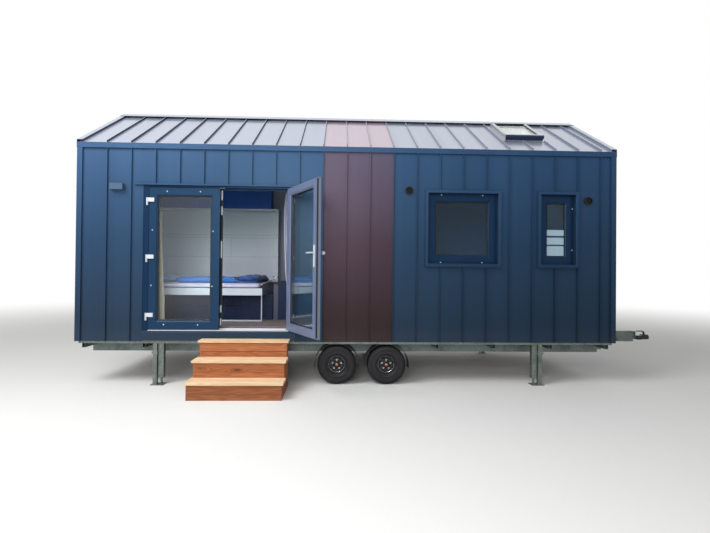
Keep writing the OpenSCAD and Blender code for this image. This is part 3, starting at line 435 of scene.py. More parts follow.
def galvanised(name, web, look=zincLook):
    # zinc spangle: cells of slightly unlike brightness and gloss, with duller stains; upright faces are darkened by the
    # web factor, a painted shade under the lit tops
    f = Finish(name)
    flake = f.split(f.cells(90.0)["Color"])[0]
    stain = f.noise(5.0, 5.0)
    base = f.mix(flake, look["dull"], look["bright"])
    base = f.mix(f.step(stain, 0.45, 0.75) * 0.6, base, look["stain"])
    # painted shade: upright faces times the web factor
    base = f.mix(abs(f.facing()[2]) < look["upright"], base, f.times(base, web))
    rough = 0.34 + flake * 0.2 + stain * 0.15
    return f.surface(Base_Color=base, Metallic=0.85, Roughness=rough, Normal=f.bump(flake * 0.00005))


def brushed(name, tone, rough=0.28, along=(3, 400, 400), metal=1.0):
    # metal with fine lines along one axis
    f = Finish(name)
    lines = f.noise(along, 3.0)
    return f.surface(Base_Color=f.spread(lines, tone, 0.88, 1), Metallic=metal, Roughness=rough + lines * 0.15,
                     Normal=f.bump(lines * 0.00003))


def moulded(name, tone, rough=0.5, pebble=0.00008, scale=500.0):
    # moulded plastic or rubber with a fine pebbled skin and pale dust
    f = Finish(name)
    dust = f.noise(9.0, 4.0)
    base = f.mix(f.step(dust, 0.45, 0.8) * 0.35, tone, tuple(v * 2 + 0.012 for v in tone))
    return f.surface(Base_Color=base, Roughness=rough + dust * 0.15, Normal=f.bump(f.cells(scale) * pebble),
                     Specular_IOR_Level=0.35)


def enamel(name, tone):
    # powder coat: faint orange peel and a few rubbed spots
    f = Finish(name)
    peel = f.noise(260.0, 2.0)
    rubbed = f.step(f.noise(24.0, 5.0), 0.62, 0.8)
    base = f.mix(rubbed * 0.3, tone, shade(tone, 0.75))
    return f.surface(Base_Color=base, Roughness=0.3 + rubbed * 0.2, Normal=f.bump(peel * 0.00006))


def clearGlass(name, tint, ior=1.3):
    # a pane that lets the light through to what lies behind it
    f = Finish(name)
    smear = f.step(f.noise((2, 2, 5), 3.0), 0.6, 0.9)
    glass = f.add("BsdfPrincipled", {
        "Base Color": tint, "Roughness": smear * 0.03, "IOR": ior, "Transmission Weight": 1.0})
    clear = f.add("BsdfTransparent", {"Color": tuple(v**0.5 for v in tint)})
    shadow = f.add("LightPath")["Is Shadow Ray"]
    f.add("OutputMaterial", {"Surface": f.add("MixShader", {0: shadow, 1: glass, 2: clear})})
    return f.owner


def etched(name, tone):
    # matt film on glass with a fine sparkle
    f = Finish(name)
    sparkle = f.noise(1400.0, 2.0)
    base = f.spread(f.noise(30.0, 3.0), tone, 0.9, 1.1)
    return f.surface(Base_Color=base, Roughness=0.55 + sparkle * 0.2, Normal=f.bump(sparkle * 0.00002))


# Wood, board and cloth

circle = 6.2832  # once round, in a wave
woodLook = {"knots": 0.5, "rings": (0.8, 7, 7), "board": (0, 0.12, 0), "start": 0.0, "joint": 0, "front": (1, 1, 1),
            "foot": (-1.0, (1, 1, 1))}
treadLook = {**woodLook, "knots": 0.45, "board": (0, 0.135, 0), "front": (0.74, 0.72, 0.68)}
riserLook = {**woodLook, "knots": 0.7, "board": (0, 0, 0.1035), "start": 0.069, "joint": 0.022,
             "foot": (0.173, (0.74, 0.72, 0.74))}
floorLook = {**woodLook, "knots": 0.3, "rings": (1.1, 9, 9), "board": (0, 0.14, 0)}


def timber(name, pale, dark, look):
    # rings follow the height lines of a long drawn noise, bend round knots, and change from board to board;
    # joints lie where the height is a whole number of pitches above the first, the foot is darker, and faces to the
    # front are darkened as painted shade
    f = Finish(name)
    axes = f.axes()
    pitch = next((axes[i] - look["start"]) / look["board"][i] for i in range(3) if look["board"][i])
    chosenBoard = f.chance(pitch)
    shift = f.add("CombineXYZ", {0: chosenBoard * 9, 1: chosenBoard * 5, 2: chosenBoard * 7})
    knotCells = f.cells((1.7, 6, 6), shift)
    chosen = f.split(knotCells["Color"])[0] > (1 - look["knots"])
    near = f.step(knotCells, 0.34, 0.0) * chosen
    core = f.step(knotCells, 0.1, 0.05) * chosen
    flow = f.noise(look["rings"], 2.0, shift) * 11 + near * 2.2
    rings = (flow * circle).sine() * 0.5 + 0.5
    fibre = f.noise((6, 260, 260), 3.0)
    base = f.mix(rings * 0.45 + fibre * 0.25, pale, dark)
    base = f.mix(chosenBoard * 0.35, base, dark)
    base = f.mix(core * 0.85, base, shade(dark, 0.35))
    base = f.mix(f.step(near, 0.35, 0.9) * 0.4, base, shade(dark, 0.7))
    # painted shade: faces to the front times the front factor
    base = f.mix(f.facing()[1] < -0.5, base, f.times(base, look["front"]))
    base = f.mix(axes[2] < look["foot"][0], base, f.times(base, look["foot"][1]))
    if look["joint"]:
        base = f.mix(abs((pitch + 0.5).part() - 0.5) < look["joint"], base, shade(dark, 0.3))
    normal = f.bump(rings * 0.00015 + fibre * 0.0001)
    return f.surface(Base_Color=base, Roughness=0.55 + fibre * 0.2, Normal=normal, Specular_IOR_Level=0.3)


def painted(name, tone, rough=0.5, outer=None, foot=None, head=None, seams=None):
    # painted or laminated board; the outer tone, a dark painted shade, lies in front of the window frames,
    # the foot's tone below its height, the head's (height, part) stops dim it upwards as painted shade,
    # and the seams are darker where |place - seam| < half their width
    f = Finish(name)
    x, y, z = f.axes()
    cloud = f.noise(1.3, 4.0)
    base = f.spread(cloud, tone, 0.94, 1.05)
    if outer:
        # painted shade: the dark outer tone in front of the window frames
        base = f.mix(y < float(houseMid[1]) + outer["front"], base, outer["tone"])
    if head:
        # painted shade: dimmer upwards by the head stops
        base = f.times(base, f.ramp(z, head))
    if foot:
        base = f.mix(z < foot[0], base, foot[1])
    if seams:
        low, high = seams["levels"][:2]
        between = (z > low) * (z < high)
        near = abs(z - low)
        for height in seams["levels"][1:]:
            near = near.smaller(abs(z - height))
        for way in seams["uprights"]:
            near = near.smaller(abs(x - float(houseMid[0] + way)) + (1 - between))
        base = f.mix((near < seams["half"]) * seams["depth"], base, shade(tone, 0.3))
    skin = f.noise(320.0, 2.0)
    return f.surface(Base_Color=base, Roughness=rough + cloud * 0.08, Normal=f.bump(skin * 0.00006))


def darkBoard(name, tones):
    # dark laminate with a faint upright grain, its tone by (height, tone) stops
    f = Finish(name)
    grain = f.noise((60, 60, 2.5), 4.0)
    base = f.times(f.ramp(f.axes()[2], tones), (0.75, 0.75, 0.78), grain)
    return f.surface(Base_Color=base, Roughness=0.42 + grain * 0.12, Normal=f.bump(grain * 0.0001),
                     Specular_IOR_Level=0.2)


clothLook = {"thread": 0.0022, "weave": 0.00012, "sheen": 0.25}


def woven(name, tone, dark, crease=0.0012, look=clothLook):
    # cloth: threads over and under each other, soft creases and a faint sheen
    f = Finish(name)
    x, y, z = f.axes()
    turns = circle / look["thread"]
    weave = (x * turns).sine() * ((y + z) * turns).sine()
    cloud = f.noise(6.0, 4.0)
    folds = f.noise((5, 9, 9), 3.0)
    base = f.mix(cloud * 0.7 + weave * 0.12, tone, dark)
    return f.surface(Base_Color=base, Roughness=0.85, Normal=f.bump(weave * look["weave"] + folds * crease),
                     Specular_IOR_Level=0.2, Sheen_Weight=look["sheen"])


# What each node is made of

unitSeams = {"levels": [1.765, 2.115, 2.166], "uprights": [-2.147, -1.376], "half": 0.006, "depth": 0.32}
# the navy and brown tones run paler upwards: the sheets' colours with a painted sky reflection
navyTonesWithPaintedSheen = [(0.8, (0.0135, 0.0265, 0.050)), (1.9, (0.0155, 0.041, 0.086)), (3.1, (0.030, 0.072, 0.155))]
brownTonesWithPaintedSheen = [(0.8, (0.0115, 0.0048, 0.0036)), (1.9, (0.031, 0.0165, 0.030)), (3.1, (0.080, 0.070, 0.116))]
anthracite = coatedSheet("anthraciteSheet", navyTonesWithPaintedSheen)
redBrown = coatedSheet("redBrownSheet", brownTonesWithPaintedSheen, (1.0, 0.75, 0.85))
# the roofs' pale tones are the dark sheet painted pale, a painted sky reflection at a low angle; the second colour of
# each roof and of the covers is the painted shade of their upright faces
anthraciteRoof = roofSheet("anthraciteRoof", (0.30, 0.325, 0.41), (0.02, 0.035, 0.07))
redBrownRoof = roofSheet("redBrownRoof", (0.42, 0.3, 0.37), (0.06, 0.02, 0.025))
windowCovers = roofSheet("windowCovers", (0.42, 0.43, 0.46), (0.013, 0.021, 0.05), coverPlates)
blueTone = (0.0075, 0.027, 0.065)
profileBlue = coatedProfile("profileBlue", blueTone, 0.3, 0.3, (0.4, 0.7, 1.0))
# the frames, sashes and meeting lip: the blue profile darkened, painted shade of their recess
profilePaintedShade = coatedProfile("profilePaintedShade", (0.0045, 0.016, 0.045), 0.3, 0.3, (0.3, 0.6, 1.0))
# the right leaf's room side is painted pale, painted light for the light its open face catches; its outer side has the
# blue tone
rightLeafPaintedLight = coatedProfile("rightLeafPaintedLight", (0.115, 0.145, 0.235), 0.27, 0.5, (0.85, 0.9, 1.0),
                            {"side": "right", "depth": 0.0115, "tone": blueTone})
lampGrey = coatedProfile("lampGrey", (0.05, 0.088, 0.15), 0.4, 0.4, (0.7, 0.85, 1.0))
# the chassis and drawbar take a deeper painted shade on their upright faces
zinc = galvanised("zinc", (0.66, 0.7, 0.64))
zincDeeperPaintedShade = galvanised("zincDeeperPaintedShade", (0.6, 0.65, 0.63))
blackPaint = coatedProfile("blackPaint", (0.014, 0.014, 0.016), 0.35)
mudPlastic = moulded("mudguardPlastic", (0.016, 0.015, 0.018))
rubber = moulded("tyreRubber", (0.0065, 0.006, 0.0075), 0.62, 0.00015, 900.0)
sealRubber = moulded("sealRubber", (0.006, 0.006, 0.007), 0.55, 0.00005, 1500.0)
silver = brushed("silverSill", seen(226, 230, 238), 0.34, metal=0.3)
chrome = brushed("chrome", seen(225, 226, 228), 0.08, (40, 40, 40))
bronze = brushed("bronzeCap", seen(150, 112, 92), 0.3, (40, 40, 40))
whiteEnamel = enamel("whiteEnamel", seen(192, 197, 204))
# the side bar and its plate: near white, painted light for light that hardly reaches them
barPaintedLight = enamel("barPaintedLight", seen(232, 238, 250))
creamEnamel = enamel("creamEnamel", seen(192, 198, 210))
stripMetal = brushed("stripMetal", seen(140, 140, 134), 0.5)
blackTrim = coatedProfile("blackTrim", (0.007, 0.008, 0.01), 0.4)
clearPane = clearGlass("clearPane", (0.95, 0.975, 0.97))
greyPane = clearGlass("greyPane", (0.56, 0.71, 0.82), 1.22)
frostedFilm = etched("frostedFilm", seen(146, 170, 184))
treadWood = timber("treadWood", seen(252, 228, 194), seen(222, 176, 128), treadLook)
riserWood = timber("riserWood", seen(182, 116, 72), seen(130, 70, 40), riserLook)
floorWood = timber("floorWood", seen(134, 122, 122), seen(84, 74, 76), floorLook)
wallPaint = painted("wallPaint", seen(222, 225, 228), outer={"front": -1.18, "tone": (0.008, 0.018, 0.036)})
# the rear wall: the wall paint greyed, painted shade
rearWallPaintedShade = painted("rearWallPaintedShade", seen(134, 142, 158))
unitBoard = painted("unitBoard", seen(222, 228, 240), 0.4, foot=(1.31, (0.03, 0.04, 0.085)),
                    head=[(1.5, (1, 1, 1)), (2.3, (0.74, 0.82, 0.78))], seams=unitSeams)
navyBoard = darkBoard("navyBoard", [(2.3, (0.005, 0.016, 0.06)), (2.45, (0.035, 0.13, 0.46))])
mattressCloth = woven("mattressCloth", seen(208, 206, 226), seen(176, 174, 202))
blueCloth = woven("blueCloth", seen(62, 126, 208), seen(32, 86, 170))
gauzeCloth = woven("gauzeCloth", seen(170, 180, 220), seen(90, 98, 140))
foldCloth = woven("foldCloth", seen(46, 100, 186), seen(10, 18, 60), crease=0.003)
pillowCloth = woven("pillowCloth", seen(150, 178, 222), seen(92, 120, 172))
paleCloth = woven("paleCloth", seen(196, 200, 218), seen(160, 165, 186))
beigeCloth = woven("beigeCloth", seen(196, 186, 168), seen(160, 150, 136))

wheels = ["front_left", "front_right", "rear_left", "rear_right"]
nodeFinishes = {
    anthracite: ["wall_cladding", "gable_cladding", "eave_flashings", "corner_trims", "door_flashing",
                 "window_casings"],
    lampGrey: ["wall_lamp"],
    redBrown: ["wall_band"],
    anthraciteRoof: ["roof_sheets", "ridge_cap", "verge_trims"],
    windowCovers: ["skylight_frame"],
    redBrownRoof: ["roof_band"],
    profileBlue: ["left_leaf"],
    profilePaintedShade: ["door_frame", "window_frames", "window_sashes"],
    rightLeafPaintedLight: ["right_leaf"],
    zinc: ["axles", "corner_legs"],
    zincDeeperPaintedShade: ["chassis_frame", "drawbar"],
    blackPaint: ["coupling_head"],
    mudPlastic: ["mudguards"],
    rubber: ["tyre_" + wheel for wheel in wheels],
    blackTrim: ["vents", *("rim_" + wheel for wheel in wheels)],
    silver: ["threshold"],
    whiteEnamel: ["frame_hinges", "left_fittings", "right_fittings", "door_lever"],
    creamEnamel: ["bed_frame"],
    clearPane: ["skylight_glass", "left_glass", "right_glass"],
    greyPane: ["window_glass"],
    treadWood: ["step_treads"],
    riserWood: ["step_risers", "step_sides"],
    floorWood: ["floor"],
    wallPaint: ["front_wall_left", "front_wall_right", "front_wall_over_door", "gable_walls", "roof_deck_front",
                "roof_deck_rear"],
    rearWallPaintedShade: ["rear_wall"],
    unitBoard: ["bed_unit"],
    navyBoard: ["cabinets"],
    mattressCloth: ["mattress"],
    blueCloth: ["bedding"],
}
for finish, names in nodeFinishes.items():
    for name in names:
        if not nodes[name].data.materials:
            nodes[name].data.materials.append(finish)
        for place in nodes[name].material_slots:
            place.material = finish
print("materials given to", sum(len(names) for names in nodeFinishes.values()), "nodes")

# Studs and locks on the door leaves


def onLeaf(shape, side):
    # a shape drawn in u, v, w put on a leaf
    origin, axes = leafPlace(side)
    return copies(shape, origin, axes)


leafSize = mmBox("left_leaf")[1] - mmBox("left_leaf")[0]
studLook = {
    "profile": [(0, 4.6), (3, 4.4), (6, 3.5), (8, 2), (8.8, 0.6), (8.8, -0.6), (0, -0.6)],
    "leaf": [(231, 1820), (664, 1822), (44, 1307), (835, 1300), (36, 577), (830, 572), (204, 63), (648, 60)],
    "window": [(1217, 2572), (1783, 2572), (1213, 1655), (1779, 1655), (3027, 2405), (3024, 1839)],
    "windowFace": -1203,
}


def makeStuds(look=studLook):
    # domed caps on the outer faces of the leaves, at (u, w), and on the window frames, at (x, z)
    cap = turned(look["profile"], 20)
    places = [(u, 0, w) for u, w in look["leaf"]]
    for side in ("left", "right"):
        shape = onLeaf(copies(cap, places, outward), side)
        makePiece(side + "Studs", shape, whiteEnamel, side + "_door")
    places = [(x, look["windowFace"], z) for x, z in look["window"]]
    makePiece("windowStuds", copies(cap, places, outward), whiteEnamel)


lockLook = {
    "seat": 29, "width": 11, "face": 918.1, "thick": 2.2, "bolts": [1763, 1583, 1143, 1020, 620, 250],
    "bolt": [(0, 3.6), (4.6, 3.4), (5.2, 2.6), (3.2, 2.0), (3.2, -0.3), (0, -0.3)],
    "screw": [(0, 0.3), (1.4, 0.3), (1.8, 0.7), (3.4, 0.5), (3.6, -0.2), (0, -0.2)], "screws": (60, 14),
    "gasket": (51.5, 17, 906, 4), "lip": ((904, 946), (75, 81), (38, 1856)), "web": ((904, 916), (67, 76)),
    "keep": (930, 18, 70.6, 4.0), "seal": ((917.5, 945), (74.0, 75.3)),
    "plates": [(1724, 1852), (1525, 1644), (950, 1178), (222, 317), (46, 141)],
}


def longBar(u, v, w, radius=1.6):
    # a bar between two values of u, of v and of w
    return copies(slab(u[1] - u[0], v[1] - v[0], w[1] - w[0], radius / 2, radius), (sum(u) / 2, sum(v) / 2, w[0]))


def makeLocks(look=lockLook):
    # strip with mushroom bolts and a gasket on the right leaf's free edge; behind the left leaf's edge a lip
    # that the right leaf closes against, with its seal and the keeps that take the bolts
    height, middle = leafSize[2] - 10, leafSize[2] / 2
    strip = copies(slab(look["width"], height, look["thick"], 0.5, 4), (look["face"], look["seat"], middle), sideways)
    top = look["face"] + look["thick"]
    bolts = copies(turned(look["bolt"], 16), [(top, look["seat"], w) for w in look["bolts"]], sideways)
    screw = turned(look["screw"], 12)
    end, count = look["screws"]
    heads = copies(screw, [(top, look["seat"], w) for w in np.linspace(end, height - end, count)], sideways)
    makePiece("lockStrip", onLeaf(joined(strip, bolts, heads), "right"), stripMetal, "right_door")
    v, wide, face, thick = look["gasket"]
    gasket = copies(slab(wide, height - 30, thick, 1.4, 4), (face - 0.2, v, middle), sideways)
    makePiece("leafGasket", onLeaf(gasket, "right"), sealRubber, "right_door")

    lip = joined(longBar(*look["lip"]), longBar(*look["web"], look["lip"][2]))
    makePiece("meetingLip", onLeaf(lip, "left"), profilePaintedShade, "left_door")
    seal = longBar(*look["seal"], look["lip"][2], 0.5)
    makePiece("meetingSeal", onLeaf(seal, "left"), sealRubber, "left_door")
    u, wide, front, thick = look["keep"]
    keeps = [copies(slab(wide, high - low, thick, 0.6, 4), (u, front, (low + high) / 2), inward)
             for low, high in look["plates"]]
    screws = copies(screw, [(u, front, w) for low, high in look["plates"] for w in (low + 12, high - 12)], outward)
    makePiece("keeps", onLeaf(joined(*keeps, screws), "left"), whiteEnamel, "left_door")


keepLook = {"middle": (-1721, -1236, 2608.6), "size": (62, 28, 2.6)}


def makeKeep(look=keepLook):
    # a plate under the door head, where the leaves meet
    makePiece("headKeep", copies(slab(*look["size"], 0.4, 1.5), look["middle"]), whiteEnamel)


makeStuds()
makeLocks()
makeKeep()
print("studs and locks made")

# Insulated glass: two panes, a spacer between them and beads at the edge

glassLook = {
    "pane": 4, "unit": 24,
    "spacer": [(9, 4.2), (16, 4.2), (17, 6), (17, 18), (16, 19.8), (9, 19.8)],
    "outerBead": [(0, -7), (3, -7), (9, -1.2), (9, -0.1), (0, -0.1)],
    "innerBead": [(0, 24.1), (9, 24.1), (9, 25.2), (3, 31), (0, 31)],
}


def glassUnit(width, height, look=glassLook):
    # about the middle of the outer face: x across, y into the room, z up
    sheet = slab(width, height, look["pane"], 0.6, 1.5)
    panes = copies(sheet, [(0, 0, 0), (0, look["unit"] - look["pane"], 0)], inward)
    spacer = mitredRing(width, height, look["spacer"])
    beads = joined(mitredRing(width, height, look["outerBead"]), mitredRing(width, height, look["innerBead"]))
    return panes, spacer, beads


def makeGlass(name, node, units, finish, side=None):
    # units: the middle, width, height and axes of each that stands for the node, on a leaf where a side is named
    sets = [[copies(shape, middle, axes) for shape in glassUnit(wide, high)] for middle, wide, high, axes in units]
    parts = [joined(*same) for same in zip(*sets)]
    panes, spacers, beads = [onLeaf(part, side) for part in parts] if side else parts
    body = side + "_door" if side else "root"
    makePiece(name + "Panes", panes, finish, body, None, [node])
    makePiece(name + "Spacers", spacers, blackTrim, body, None)
    makePiece(name + "Beads", beads, sealRubber, body, None)


leafPane = {"stile": 110.3, "depth": 22}
paneWide, paneHigh = leafSize[0] - 2 * leafPane["stile"], leafSize[2] - 2 * leafPane["stile"]
paneMid = (leafSize[0] / 2, leafPane["depth"], leafSize[2] / 2)
for side in ("left", "right"):
    makeGlass(side + "Leaf", side + "_glass", [(paneMid, paneWide, paneHigh, level)], clearPane, side)

windowPanes = {"middles": [1502, 2802], "widths": [731.4, 261.4], "height": 731.4, "z": 2112, "face": -1193}
windowUnits = [((x, windowPanes["face"], windowPanes["z"]), wide, windowPanes["height"], level)
               for x, wide in zip(windowPanes["middles"], windowPanes["widths"])]
makeGlass("window", "window_glass", windowUnits, greyPane)

roofLight = {"ridge": 3952.1, "pitch": math.radians(31), "x": 2490, "width": 469.4, "from": 265.3, "to": 930.7,
             "face": 52}


def makeRoofGlass(look=roofLight):
    # stood on the front slope: x across, into the room down through the roof, up towards the ridge
    c, s = math.cos(look["pitch"]), math.sin(look["pitch"])
    down, out = np.array([0, -c, -s]), np.array([0, -s, c])
    middle = np.array([look["x"], 0, look["ridge"]]) + down * (look["from"] + look["to"]) / 2 + out * look["face"]
    axes = (np.array([1, 0, 0]), -out, -down)
    makeGlass("roofWindow", "skylight_glass", [(middle, look["width"], look["to"] - look["from"], axes)], clearPane)


makeRoofGlass()

filmLook = {"x": (2673, 2914), "bands": [(2036, 2115), (1915, 2011), (1761, 1895)], "y": -1193.6, "thick": 0.5}


def makeFilm(look=filmLook):
    # matt film strips, each between two heights, on the narrow window's outer pane
    wide = look["x"][1] - look["x"][0]
    middle = sum(look["x"]) / 2
    strips = [copies(slab(wide, top - low, look["thick"], 0.15, 2), (middle, look["y"], (low + top) / 2), inward)
              for low, top in look["bands"]]
    makePiece("frostedStrips", joined(*strips), frostedFilm, smooth=None)


makeFilm()
print("glass made")

# Wheels: local z runs outwards along the axle

tyreLook = {
    "radius": 262, "half": 57, "flat": 50, "crown": 3.0, "pitches": 60, "perPitch": 5, "depth": 6.5,
    "grooves": (-38, -13, 13, 38), "groove": 7, "edge": 0.6, "shoulder": (41.9, 5.0), "rib": (34, 2.5),
    "side": [(138, 74), (141, 79), (148, 84.5), (153, 86), (156, 88), (160, 88), (163, 86.5), (190, 88.5), (206, 88.4),
             (208, 89), (216, 88.8), (218, 87.6), (232, 84), (244, 77.5), (252, 70), (257, 62)],
}


def tyreShape(look=tyreLook):
    # radius = the outline across, less a fall of crown (h / half)^2, less the depth of round grooves and cross slots;
    # slots take one step of each pitch, on the shoulders and, shifted and shallower, on the ribs between the grooves
    groove, half = look["groove"] / 2, look["half"]
    walls = [middle + way for middle in look["grooves"]
             for way in (-groove - look["edge"], -groove, groove, groove + look["edge"])]
    across = np.array([-half, -look["flat"], *walls, look["flat"], half], float)
    fall = look["crown"] * (across / half) ** 2
    inGroove = np.min(np.abs(across[:, None] - np.array(look["grooves"])), 1) <= groove + 0.01
    tread = np.column_stack([look["radius"] - fall - look["depth"] * inGroove, across])
    side = np.array(look["side"], float)
    outline = np.concatenate([side * (1, -1), tread, side[::-1]])
    count = look["pitches"] * look["perPitch"]
    a = np.arange(count) * 2 * math.pi / count
    radius, height = outline[:, :1], outline[:, 1:]
    shoulder = (np.abs(height) > look["shoulder"][0]) & (radius > 250)
    rib = (np.abs(height) < look["rib"][0]) & (radius > look["radius"] - 4)
    phase = (np.arange(count)[None] + np.where(height > 0, 2, 0)) % look["perPitch"]
    r = radius - look["shoulder"][1] * shoulder * (phase == 0) - look["rib"][1] * rib * (phase == 2)
    points = np.stack([r * np.cos(a), r * np.sin(a), np.broadcast_to(height, r.shape)], -1)
    return points.reshape(-1, 3), gridFaces(len(outline), count, True, True)


rimLook = {
    "nutRing": 60, "nuts": 5, "start": 0.3, "lip": 108, "lipHeight": 13.5, "lipSteps": 72,
    "nut": [(0, 41), (5, 40.6), (8.5, 37.5), (10.2, 34), (10.4, 22), (11.6, 20), (11.6, 17), (0, 17)],
    "nutSeat": [(0, 20), (13.5, 20), (13.8, 24), (12.2, 27.6), (0, 27.6)],
    "cap": [(0, 69), (9, 68.4), (17, 66), (23, 61), (26, 55), (27.5, 52), (28.5, 50.2), (0, 50.2)],
    "valve": [(96, 30, 12), (97, 31, 22), (99, 32, 34), (100, 32.5, 42)],
    "x": {"left": -183.5, "right": 487.5}, "outwards": {"front": -1, "rear": 1},
}


def makeWheels(look=rimLook):
    # nuts on a ring, the rim's bright lip, the hub cap and the valve, each at (r cos a, r sin a, height)
    a = look["start"] + np.arange(look["nuts"]) * 2 * math.pi / look["nuts"]
    ring = np.column_stack([np.cos(a), np.sin(a), 0 * a]) * look["nutRing"]
    a = np.linspace(0, 2 * math.pi, look["lipSteps"], endpoint=False)
    lip = np.column_stack([look["lip"] * np.cos(a), look["lip"] * np.sin(a), 0 * a + look["lipHeight"]])
    bright = joined(copies(turned(look["nut"], 6), ring), copies(turned(look["nutSeat"], 24), ring),
                    tube(lip, 2.0, 8, True))
    cap = turned(look["cap"], 32)
    valve = tube(look["valve"], 3.2, 10, lean=(0, 1, 0))
    for wheel in wheels:
        end, hand = wheel.split("_")
        middle = mmBox("tyre_" + wheel).mean(0)
        place = dict(origins=(look["x"][hand], middle[1], middle[2]),
                     axes=((1, 0, 0), (0, 0, 1), (0, look["outwards"][end], 0)))
        title, body = end + hand.capitalize(), "wheel_" + wheel
        makePiece(title + "Tyre", copies(tyreShape(), **place), rubber, body, 38, ["tyre_" + wheel])
        makePiece(title + "Nuts", copies(bright, **place), chrome, body, 38)
        makePiece(title + "HubCap", copies(cap, **place), bronze, body, 38)
        makePiece(title + "Valve", copies(valve, **place), blackTrim, body, 38)


makeWheels()
print("wheels made")

# Screws on the steps

screwLook = {
    "profile": [(0, 0.2), (1.5, 0.2), (2.0, 0.9), (3.9, 0.8), (4.5, 0.0), (4.5, -1.5), (0, -1.5)],
    "treadTops": [621, 414, 207], "stepX": (-1953, -805), "ends": (45, 574), "riserEnd": 32,
    "treadRows": [(-1447, -1321), (-1670, -1520), (-1932, -1780)],
    "riserFronts": [(-1447, (450, 520)), (-1708, (245, 310)), (-1969, (45, 130))],
}


def makeScrews(look=screwLook):
    # two rows of countersunk heads on each tread, over its cheeks and its middle, and two on each riser's ends
    head = turned(look["profile"], 14)
    left, right = look["stepX"]
    columns = [left + look["ends"][0], left + look["ends"][1], right - look["ends"][0]]
    tops = [(x, y, z) for z, rows in zip(look["treadTops"], look["treadRows"]) for y in rows for x in columns]
    fronts = [(x, y, z) for y, heights in look["riserFronts"] for z in heights
              for x in (left + look["riserEnd"], right - look["riserEnd"])]
    shape = joined(copies(head, tops), copies(head, fronts, outward))
    makePiece("stepScrews", shape, zinc)


makeScrews()
print("screws made")

# Bedding: each pad starts as a closed form, is blown up as cloth and gets its piping after that


def padForm(width, depth, thick, look):
    # rings from the upper middle out to the rim and back below: reach r = sin of a quarter turn,
    # height = thick/2 (1 - r^crown)^(1/round) on both sides, over a rounded outline |x|^n + |y|^n = 1
    rows, columns = look["rows"], look["columns"]
    t = np.linspace(0, 1, rows)
    r = np.sin(math.pi / 2 * (1 - np.abs(2 * t - 1)))
    rise = np.sign(0.5 - t) * (1 - r ** look["crown"]) ** (1 / look["round"])
    a = np.linspace(0, 2 * math.pi, columns, endpoint=False)
    power = 2 / look["corner"]
    outX = np.sign(np.cos(a)) * np.abs(np.cos(a)) ** power * width / 2
    outY = np.sign(np.sin(a)) * np.abs(np.sin(a)) ** power * depth / 2
    x, y = np.outer(r, outX), np.outer(r, outY)
    z = np.broadcast_to((rise * thick / 2)[:, None], x.shape)
    return np.stack([x, y, z], -1).reshape(-1, 3), gridFaces(rows, columns, wrapColumns=True)


def folded(points, waves):
    # adds height * sin(kx x + ky y + phase), raised to stand in ridges, for each wave
    x, y = points[:, 0], points[:, 1]
    lift = np.zeros(len(points))
    for height, kx, ky, phase in waves:
        lift += height * (np.abs(np.sin(kx * x + ky * y + phase)) ** 1.6 - 0.5)
    return lift


def meshPoints(mesh):
    points = np.empty(len(mesh.vertices) * 3)
    mesh.vertices.foreach_get("co", points)
    return points.reshape(-1, 3)


def bakedMesh(piece):
    # the piece as its modifiers make it
    graph = bpy.context.evaluated_depsgraph_get()
    return bpy.data.meshes.new_from_object(piece.evaluated_get(graph))


def blowUp(piece, look):
    # even remesh, cloth pressure without gravity, each point's way capped, one subdivision at the end
    finish = piece.data.materials[0]
    remesh = piece.modifiers.new("even", "REMESH")
    remesh.mode = "VOXEL"
    remesh.voxel_size = look["voxel"]
    mesh = bakedMesh(piece)
    piece.modifiers.clear()
    piece.data = mesh
    start = meshPoints(mesh)
    cloth = piece.modifiers.new("blown", "CLOTH")
    cloth.settings.use_pressure = True
    cloth.settings.uniform_pressure_force = look["pressure"]
    cloth.settings.effector_weights.gravity = 0
    cloth.settings.shrink_min = -look["slack"]
    cloth.point_cache.frame_start = 1
    cloth.point_cache.frame_end = look["frames"]
    for number in range(1, look["frames"] + 1):
        bpy.context.scene.frame_set(number)
    blown = meshPoints(bakedMesh(piece))
    piece.modifiers.clear()
    bpy.context.scene.frame_set(1)
    way = blown - start
    length = np.linalg.norm(way, axis=1)[:, None]
    end = start + way * np.minimum(1, look["cap"] / np.maximum(length, 1e-9))
    end[:, 2] = np.maximum(end[:, 2], look["rest"] / 1000)
    mesh.vertices.foreach_set("co", end.ravel())
    mesh.update()
    if not mesh.materials:
        mesh.materials.append(finish)
    mesh.shade_smooth()
    finer = piece.modifiers.new("finer", "SUBSURF")
    finer.levels = finer.render_levels = 1


def pressedDown(points, presses):
    # what lies on a pad presses it: inside |u/a|^n + |v/b|^n = 1, about a turned middle, no point stays above the top
    for middle, half, turn, corner, top in presses:
        c, s = math.cos(math.radians(turn)), math.sin(math.radians(turn))
        x, y = points[:, 0] - middle[0], points[:, 1] - middle[1]
        u, v = np.abs(x * c + y * s) / half[0], np.abs(y * c - x * s) / half[1]
        reach = (u**corner + v**corner) ** (1 / corner)
        part = np.clip((1.3 - reach) / 0.3, 0, 1)
        points[:, 2] -= part * part * (3 - 2 * part) * np.maximum(points[:, 2] - top, 0)
    return points


def makePad(name, look, finish, instead=()):
    # the form with its waves on the upper side, turned about its middle, blown up, and pressed where others lie on it
    points, faces = padForm(*look["size"], look)
    upper = np.clip(points[:, 2] / look["size"][2] + 0.5, 0, 1)
    points = points + np.outer(folded(points, look["waves"]) * upper, [0, 0, 1])
    turn = math.radians(look["turn"])
    spin = np.array([[math.cos(turn), math.sin(turn), 0], [-math.sin(turn), math.cos(turn), 0], [0, 0, 1]])
    piece = makePiece(name, (points @ spin + look["middle"], faces), finish, smooth=None, instead=instead)
    blowUp(piece, look)
    if look["presses"]:
        points = pressedDown((meshPoints(piece.data) - houseMid) * 1000, look["presses"])
        piece.data.vertices.foreach_set("co", (points / 1000 + houseMid).ravel())
        piece.data.update()
    return piece


